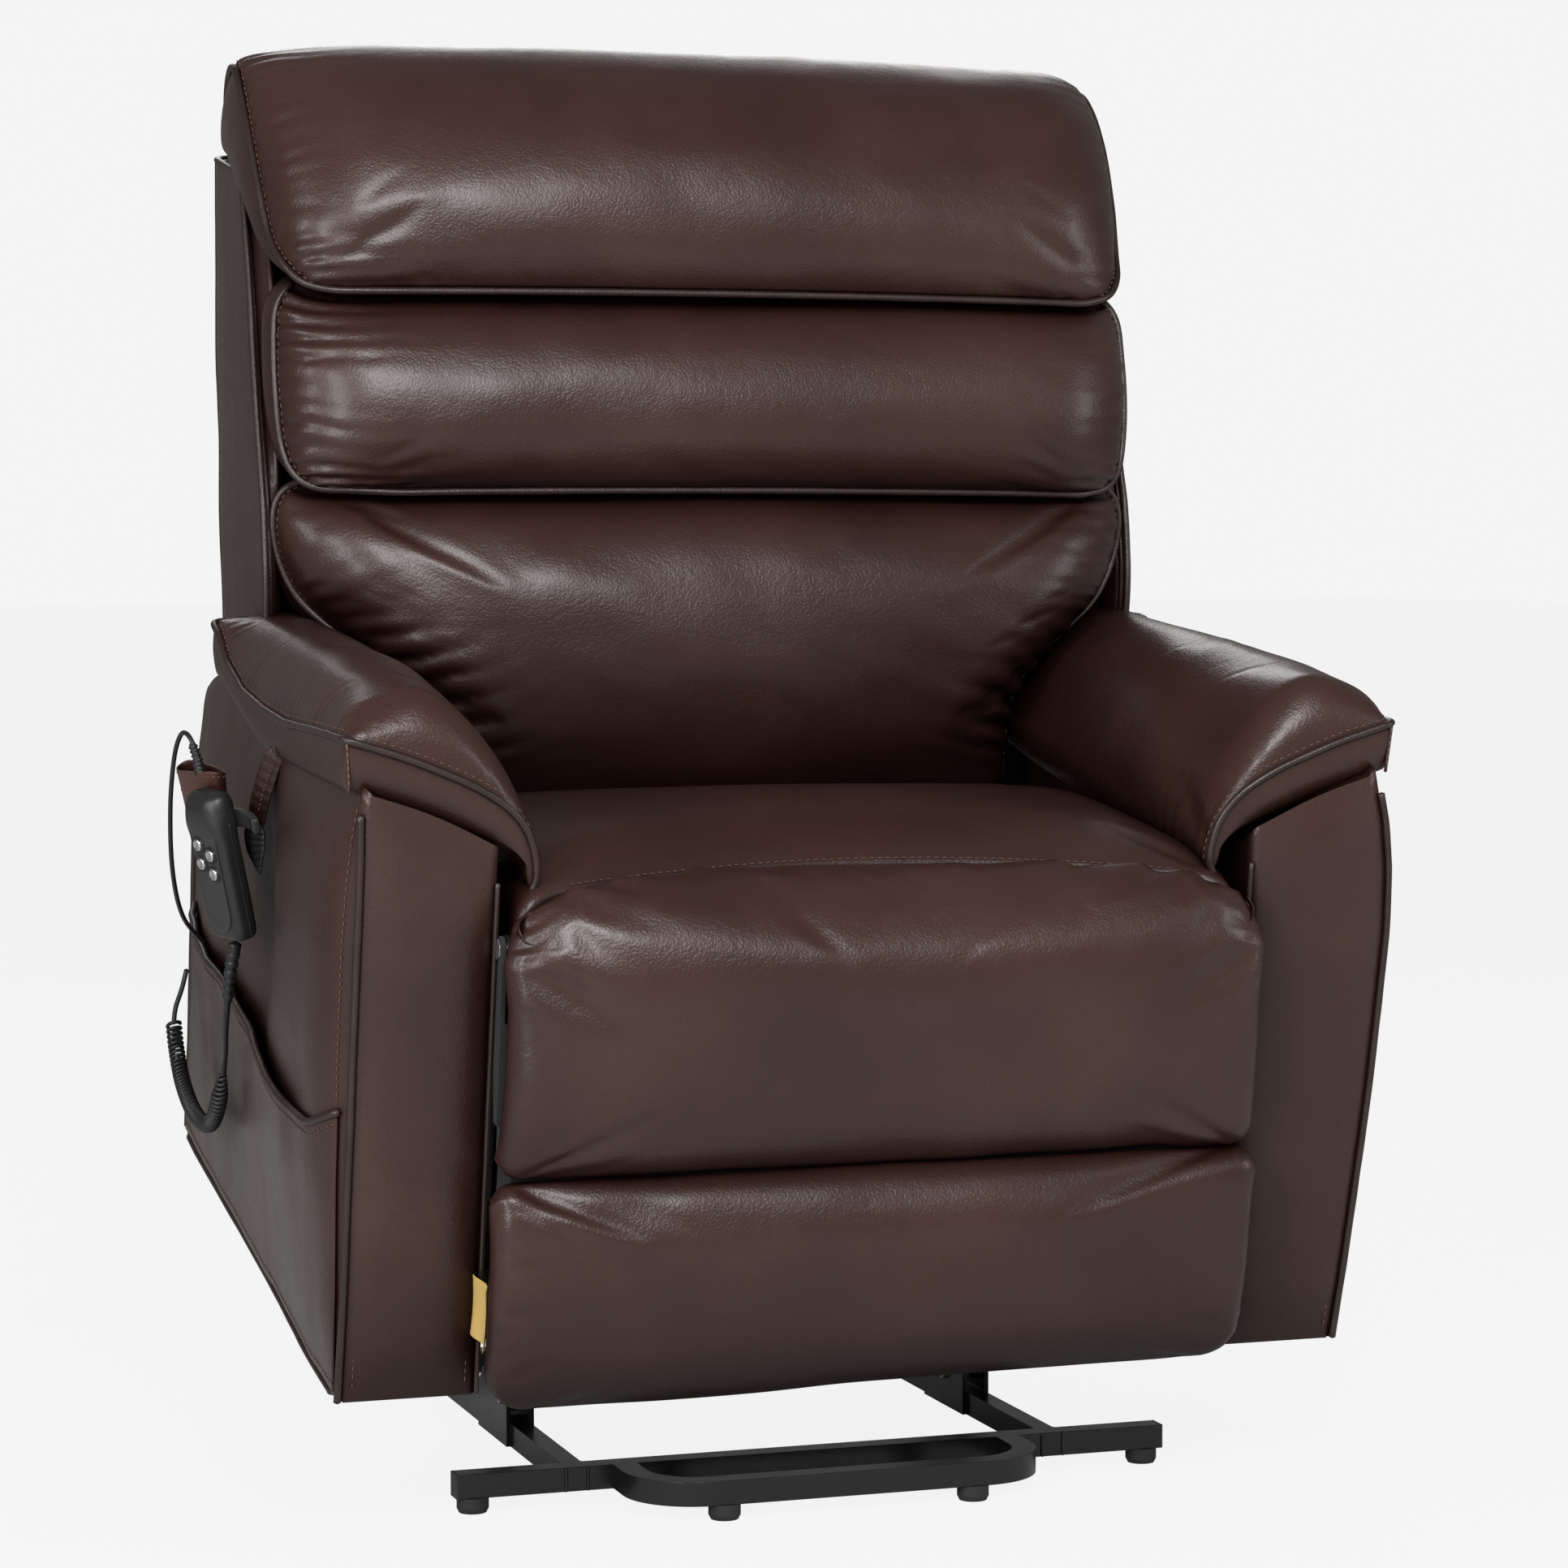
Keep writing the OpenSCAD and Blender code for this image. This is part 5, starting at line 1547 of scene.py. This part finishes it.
def make_strap():
    """folded strap with a leaf-shaped end, laid on the left arm's outer side"""
    side = -float(arm_outer(312, 440, LEFT))

    def on_side(*points):
        return [(side + out, y, z) for out, y, z in points]

    front = ribbon(
        "strap_front", on_side((9, 290, 514), (-3, 296, 498), (-9, 302, 474), (-13, 308, 452),
                               (-15, 312, 434)),
        width=18, across=(0.75, -0.65, 0), thickness=2.4, material=LEATHER)
    rear = ribbon(
        "strap_rear", on_side((9, 306, 510), (-2, 314, 494), (-7, 322, 470), (-11, 325, 450),
                              (-14, 320, 434)),
        width=16, across=(0.8, -0.5, 0.1), thickness=2.2, material=LEATHER_RED)
    tip = ribbon(
        "strap_tip", on_side((-14, 314, 440), (-15, 316, 430), (-15, 316, 417), (-13, 314, 402),
                             (-10, 311, 386)),
        width=22, across=(0.75, -0.65, 0), thickness=3.0, material=CASE_DARK,
        taper=((0, 0.5), (0.3, 1.0), (0.6, 0.85), (1, 0.08)))
    for part in (front, rear, tip):
        subdivide(part)
    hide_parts("handset_strap")
    line = curve(on_side((-5.5, 292, 494), (-11.5, 299, 468), (-15.0, 305, 446)), 12)
    seam = stitches("strap_stitch", line, pitch=5.0, length=3.2, radius=0.45)
    attach([front, rear, tip, seam], "chassis")


# ------------------------------------------------------------------ cables
HANDSET_LEAD = ((-507.4, 314.4, 320.5), (-509, 317, 304), (-510, 321, 287), (-509, 340, 238),
                (-504, 366, 204), (-501, 384, 188), (-500, 392, 174))
CHARGING_LEAD = ((-537.4, 349, 477.5), (-540, 353, 489), (-544, 360, 502), (-549, 375, 504),
                 (-552, 395, 478), (-552, 410, 425), (-545, 430, 360), (-528, 466, 306),
                 (-497, 524, 262))
CHARGING_BOOT = ((-536.6, 348, 471), (-538, 350, 479), (-540, 353, 488), (-543, 358, 498))
COIL_PATH = ((-500, 392, 174), (-500, 398, 160), (-500, 418, 128), (-500, 450, 104),
             (-500, 496, 92), (-500, 548, 90), (-500, 598, 100), (-500, 632, 120),
             (-500, 652, 142))
COIL_TAIL = ((-500, 652, 142), (-497, 660, 156), (-490, 668, 172), (-484, 676, 190))
COIL_TURNS, COIL_STEPS_PER_TURN, COIL_RADIUS, COIL_WIRE = 58, 16, 6.4, 1.9
COIL_SIDES = 8
BOOT_RIBS, BOOT_STEP = 7, 0.8


def boot(name, path, start_radius, end_radius):
    """ribbed strain relief along a path"""
    path = resample(path, BOOT_STEP)
    t = np.linspace(0, 1, len(path))
    ribs = 0.55 * np.sign(np.sin(t * BOOT_RIBS * 2 * math.pi)) * (t > 0.12)
    radii = start_radius + (end_radius - start_radius) * t + ribs
    return tube(name, path, list(radii), CORD, step=BOOT_STEP, sides=16)


def make_coil():
    """a helix wound on the hanging curve"""
    middle = curve(COIL_PATH, 400)
    _, normals, binormals = path_frames(middle)
    phase = np.linspace(0, COIL_TURNS * 2 * math.pi, COIL_TURNS * COIL_STEPS_PER_TURN)
    t = np.linspace(0, 1, len(phase))
    center, normal, binormal = (sample(points, np.linspace(0, 1, 400), t)
                                for points in (middle, normals, binormals))
    radius = COIL_RADIUS * np.minimum(1, 8 * t + 0.25)
    around = np.cos(phase)[:, None] * normal + np.sin(phase)[:, None] * binormal
    helix = center + radius[:, None] * around
    vertices, faces = sweep(helix, np.full(len(helix), COIL_WIRE), COIL_SIDES)
    faces.append(tuple(reversed(range(COIL_SIDES))))
    faces.append(tuple((len(helix) - 1) * COIL_SIDES + j for j in range(COIL_SIDES)))
    return mesh_object("coil_cord_helix", vertices, faces, CORD)


def make_cables():
    lead_path = curve(HANDSET_LEAD, 60)
    lead = tube("handset_lead", lead_path, 3.3, CORD, step=2.5, sides=14)
    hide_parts("handset_cable")
    lead_boot = boot("handset_lead_boot", lead_path[:22], start_radius=6.2, end_radius=4.4)
    wire = tube("charging_lead_wire", curve(CHARGING_LEAD, 120), 2.2, CORD, step=3, sides=12)
    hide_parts("charging_lead")
    wire_boot = boot("charging_lead_boot", curve(CHARGING_BOOT, 20), start_radius=5.2,
                     end_radius=3.6)
    coil = make_coil()
    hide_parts("coil_cord")
    tail = tube("coil_cord_tail", curve(COIL_TAIL, 12), 2.4, CORD, step=2)
    attach([lead, lead_boot, wire, wire_boot, coil, tail], "chassis")


# ------------------------------------------------------------------ tag and welds
def make_tag():
    """blank woven tag in the seam between the left arm and the footrest"""
    grid = [[(-352.5 - 3.2 * math.sin((y + 16) / 7.0) - 1.6 * math.sin(z / 18.0),
              y - 1.0 * math.sin(z / 16.0), z + 0.08 * y)
             for y in np.linspace(-44, -2, 12)] for z in np.linspace(56, 112, 15)]
    tag = sheet("fabric_tag_blank", grid, (0.8, 0, 0), TAG_FABRIC).object
    subdivide(tag)
    cover(tag, "fabric_tag", "chassis")


# places in the row frame, mm
WELD_X, WELD_Y = 230, 280
WELD_OFFSET_X, WELD_OFFSET_Y = 10.2, 11.5
WELD_HEIGHTS = (14.5, 25, 35.5)


def make_welds():
    """four upright beads round each of four places on the base"""
    places = [(side * WELD_X + dx * WELD_OFFSET_X, end * WELD_Y + dy * WELD_OFFSET_Y)
              for side in (-1, 1) for end in (-1, 1) for dy in (-1, 1) for dx in (-1, 1)]
    for number, (x, y) in enumerate(places):
        path = from_row(np.array([(x, y, z) for z in WELD_HEIGHTS]) / 1000.0)
        bead = tube("weld_%02d" % number, path, 1.7, WELD, step=1.2, sides=8, wobble=0.16,
                    seed=number)
        attach([bead], "base")


# ------------------------------------------------------------------ camera, floor and light
CAMERA_PLACE = (-1.22634, -3.91964, 0.86201)
CAMERA_YAW, CAMERA_PITCH, CAMERA_ROLL = (math.radians(a) for a in (18.21, 3.21, 0.12))


def make_camera():
    data = bpy.data.cameras.new("camera")
    camera = bpy.data.objects.new("camera", data)
    scene.collection.objects.link(camera)
    forward = np.array([math.sin(CAMERA_YAW) * math.cos(CAMERA_PITCH),
                        math.cos(CAMERA_YAW) * math.cos(CAMERA_PITCH), -math.sin(CAMERA_PITCH)])
    level = np.cross(forward, [0, 0, 1.0])
    level /= np.linalg.norm(level)
    down = np.cross(forward, level)
    cos_roll, sin_roll = math.cos(CAMERA_ROLL), math.sin(CAMERA_ROLL)
    right = cos_roll * level + sin_roll * down
    down = -sin_roll * level + cos_roll * down
    rows = np.c_[right, -down, -forward, CAMERA_PLACE]
    camera.matrix_world = Matrix((*rows.tolist(), (0, 0, 0, 1)))
    data.sensor_width = 36.0
    data.lens = 96.9
    data.clip_start, data.clip_end = 0.05, 100.0
    scene.camera = camera


def make_floor():
    """a grey floor that the camera sees as almost white"""
    glow_share = 0.93
    shader = Shader("floor")
    rays = shader.node("ShaderNodeLightPath")
    glow = shader.node("ShaderNodeEmission", Color=(0.945, 0.945, 0.945), Strength=1.0)
    mix = shader.node("ShaderNodeMixShader")
    grey = shader.mix(shader.noise(scale=3.0, detail=3.0), (0.62, 0.62, 0.62),
                      (0.64, 0.64, 0.64))
    shader.surface(Base_Color=grey, Roughness=0.85)
    mix.inputs[0].default_value = glow_share
    seen = shader.math("MULTIPLY", rays.outputs["Is Camera Ray"], glow_share)
    for socket, value in zip(mix.inputs, (seen, shader.principled.outputs[0], glow.outputs[0])):
        shader.feed(socket, value)
    shader.feed(shader.output.inputs[0], mix.outputs[0])
    mesh = bpy.data.meshes.new("floor")
    corners = [(x, y, -0.0005) for x, y in ((-30, -30), (30, -30), (30, 60), (-30, 60))]
    mesh.from_pydata(corners, [], [(0, 1, 2, 3)])
    mesh.materials.append(shader.material)
    floor = bpy.data.objects.new("floor", mesh)
    scene.collection.objects.link(floor)


def make_world():
    """dim light on the chair, a light grey backdrop for the camera"""
    world = bpy.data.worlds.new("studio")
    scene.world = world
    world.use_nodes = True
    nodes, links = world.node_tree.nodes, world.node_tree.links
    nodes.clear()
    output = nodes.new("ShaderNodeOutputWorld")
    ambient = nodes.new("ShaderNodeBackground")
    backdrop = nodes.new("ShaderNodeBackground")
    rays = nodes.new("ShaderNodeLightPath")
    mix = nodes.new("ShaderNodeMixShader")
    for node, color, strength in ((ambient, (1.0, 0.99, 0.98, 1), 0.19),
                                  (backdrop, (0.905, 0.905, 0.905, 1), 1.0)):
        node.inputs["Color"].default_value = color
        node.inputs["Strength"].default_value = strength
    links.new(rays.outputs["Is Camera Ray"], mix.inputs[0])
    links.new(ambient.outputs[0], mix.inputs[1])
    links.new(backdrop.outputs[0], mix.inputs[2])
    links.new(mix.outputs[0], output.inputs[0])


# name, place, target (m), width, height (m), power (W)
LIGHTS = (
    ("key", (-0.32, -3.4, 2.6), (0, 0.1, 0.7), 1.4, 0.9, 104),
    ("left_strip", (-2.5, -2.9, 1.5), (-0.3, 0, 0.6), 0.6, 1.8, 62),
    ("left_kick", (-3.4, -1.3, 1.9), (-0.2, 0.2, 0.8), 0.4, 1.4, 30),
    ("right_fill", (3.0, -2.2, 1.6), (0.3, 0, 0.6), 0.6, 1.8, 26),
    ("rim_back", (0.6, 3.0, 2.6), (0, 0.2, 0.8), 2.4, 1.2, 30),
)


def make_lights():
    for name, place, target, width, height, power in LIGHTS:
        data = bpy.data.lights.new(name, "AREA")
        data.shape = "RECTANGLE"
        data.size, data.size_y = width, height
        data.energy = power
        light = bpy.data.objects.new(name, data)
        light.location = place
        aim = Vector(target) - Vector(place)
        light.rotation_euler = aim.to_track_quat("-Z", "Y").to_euler()
        scene.collection.objects.link(light)


# ------------------------------------------------------------------ build
# every cushion is made first, so that one cloth pass serves them all; details follow
paint_cad()
make_arm(RIGHT)
make_arm(LEFT)
arm_pads = {hand: make_arm_pad(hand) for hand in (RIGHT, LEFT)}
head = make_pillow("pillow_head", **HEAD_PILLOW)
middle = make_pillow("pillow_middle", **MIDDLE_PILLOW)
lower = make_pillow("pillow_lower", **LOWER_PILLOW)
seat = make_seat()
flap = make_flap()
footrest = make_footrest()

run_cloths()

for hand, pad in arm_pads.items():
    finish_arm_pad(pad, hand)
finish_pillow(head, "head_pillow", seed=100, heights=(13.0, 8.0, 5.5))
finish_pillow(middle, "middle_pillow", seed=130, heights=(13.0, 8.0, 5.5))
finish_pillow(lower, "lower_pillow", seed=160, heights=(8.5, 7.5, 0.0), gathers=(8.5, 6.5),
              bottom_piping=False)
finish_seat(seat)
finish_flap(flap)
finish_footrest(footrest)
make_seat_lining()
make_back()
make_gap_gusset(LEFT)
make_gap_gusset(RIGHT)
make_rear_apron()
make_side_pocket()
make_handset_case()
make_handset_panel()
make_buttons()
make_hook()
make_pouch()
make_strap()
make_cables()
make_tag()
make_welds()
make_camera()
make_floor()
make_world()
make_lights()

scene.view_settings.view_transform = "Standard"
scene.view_settings.look = "None"
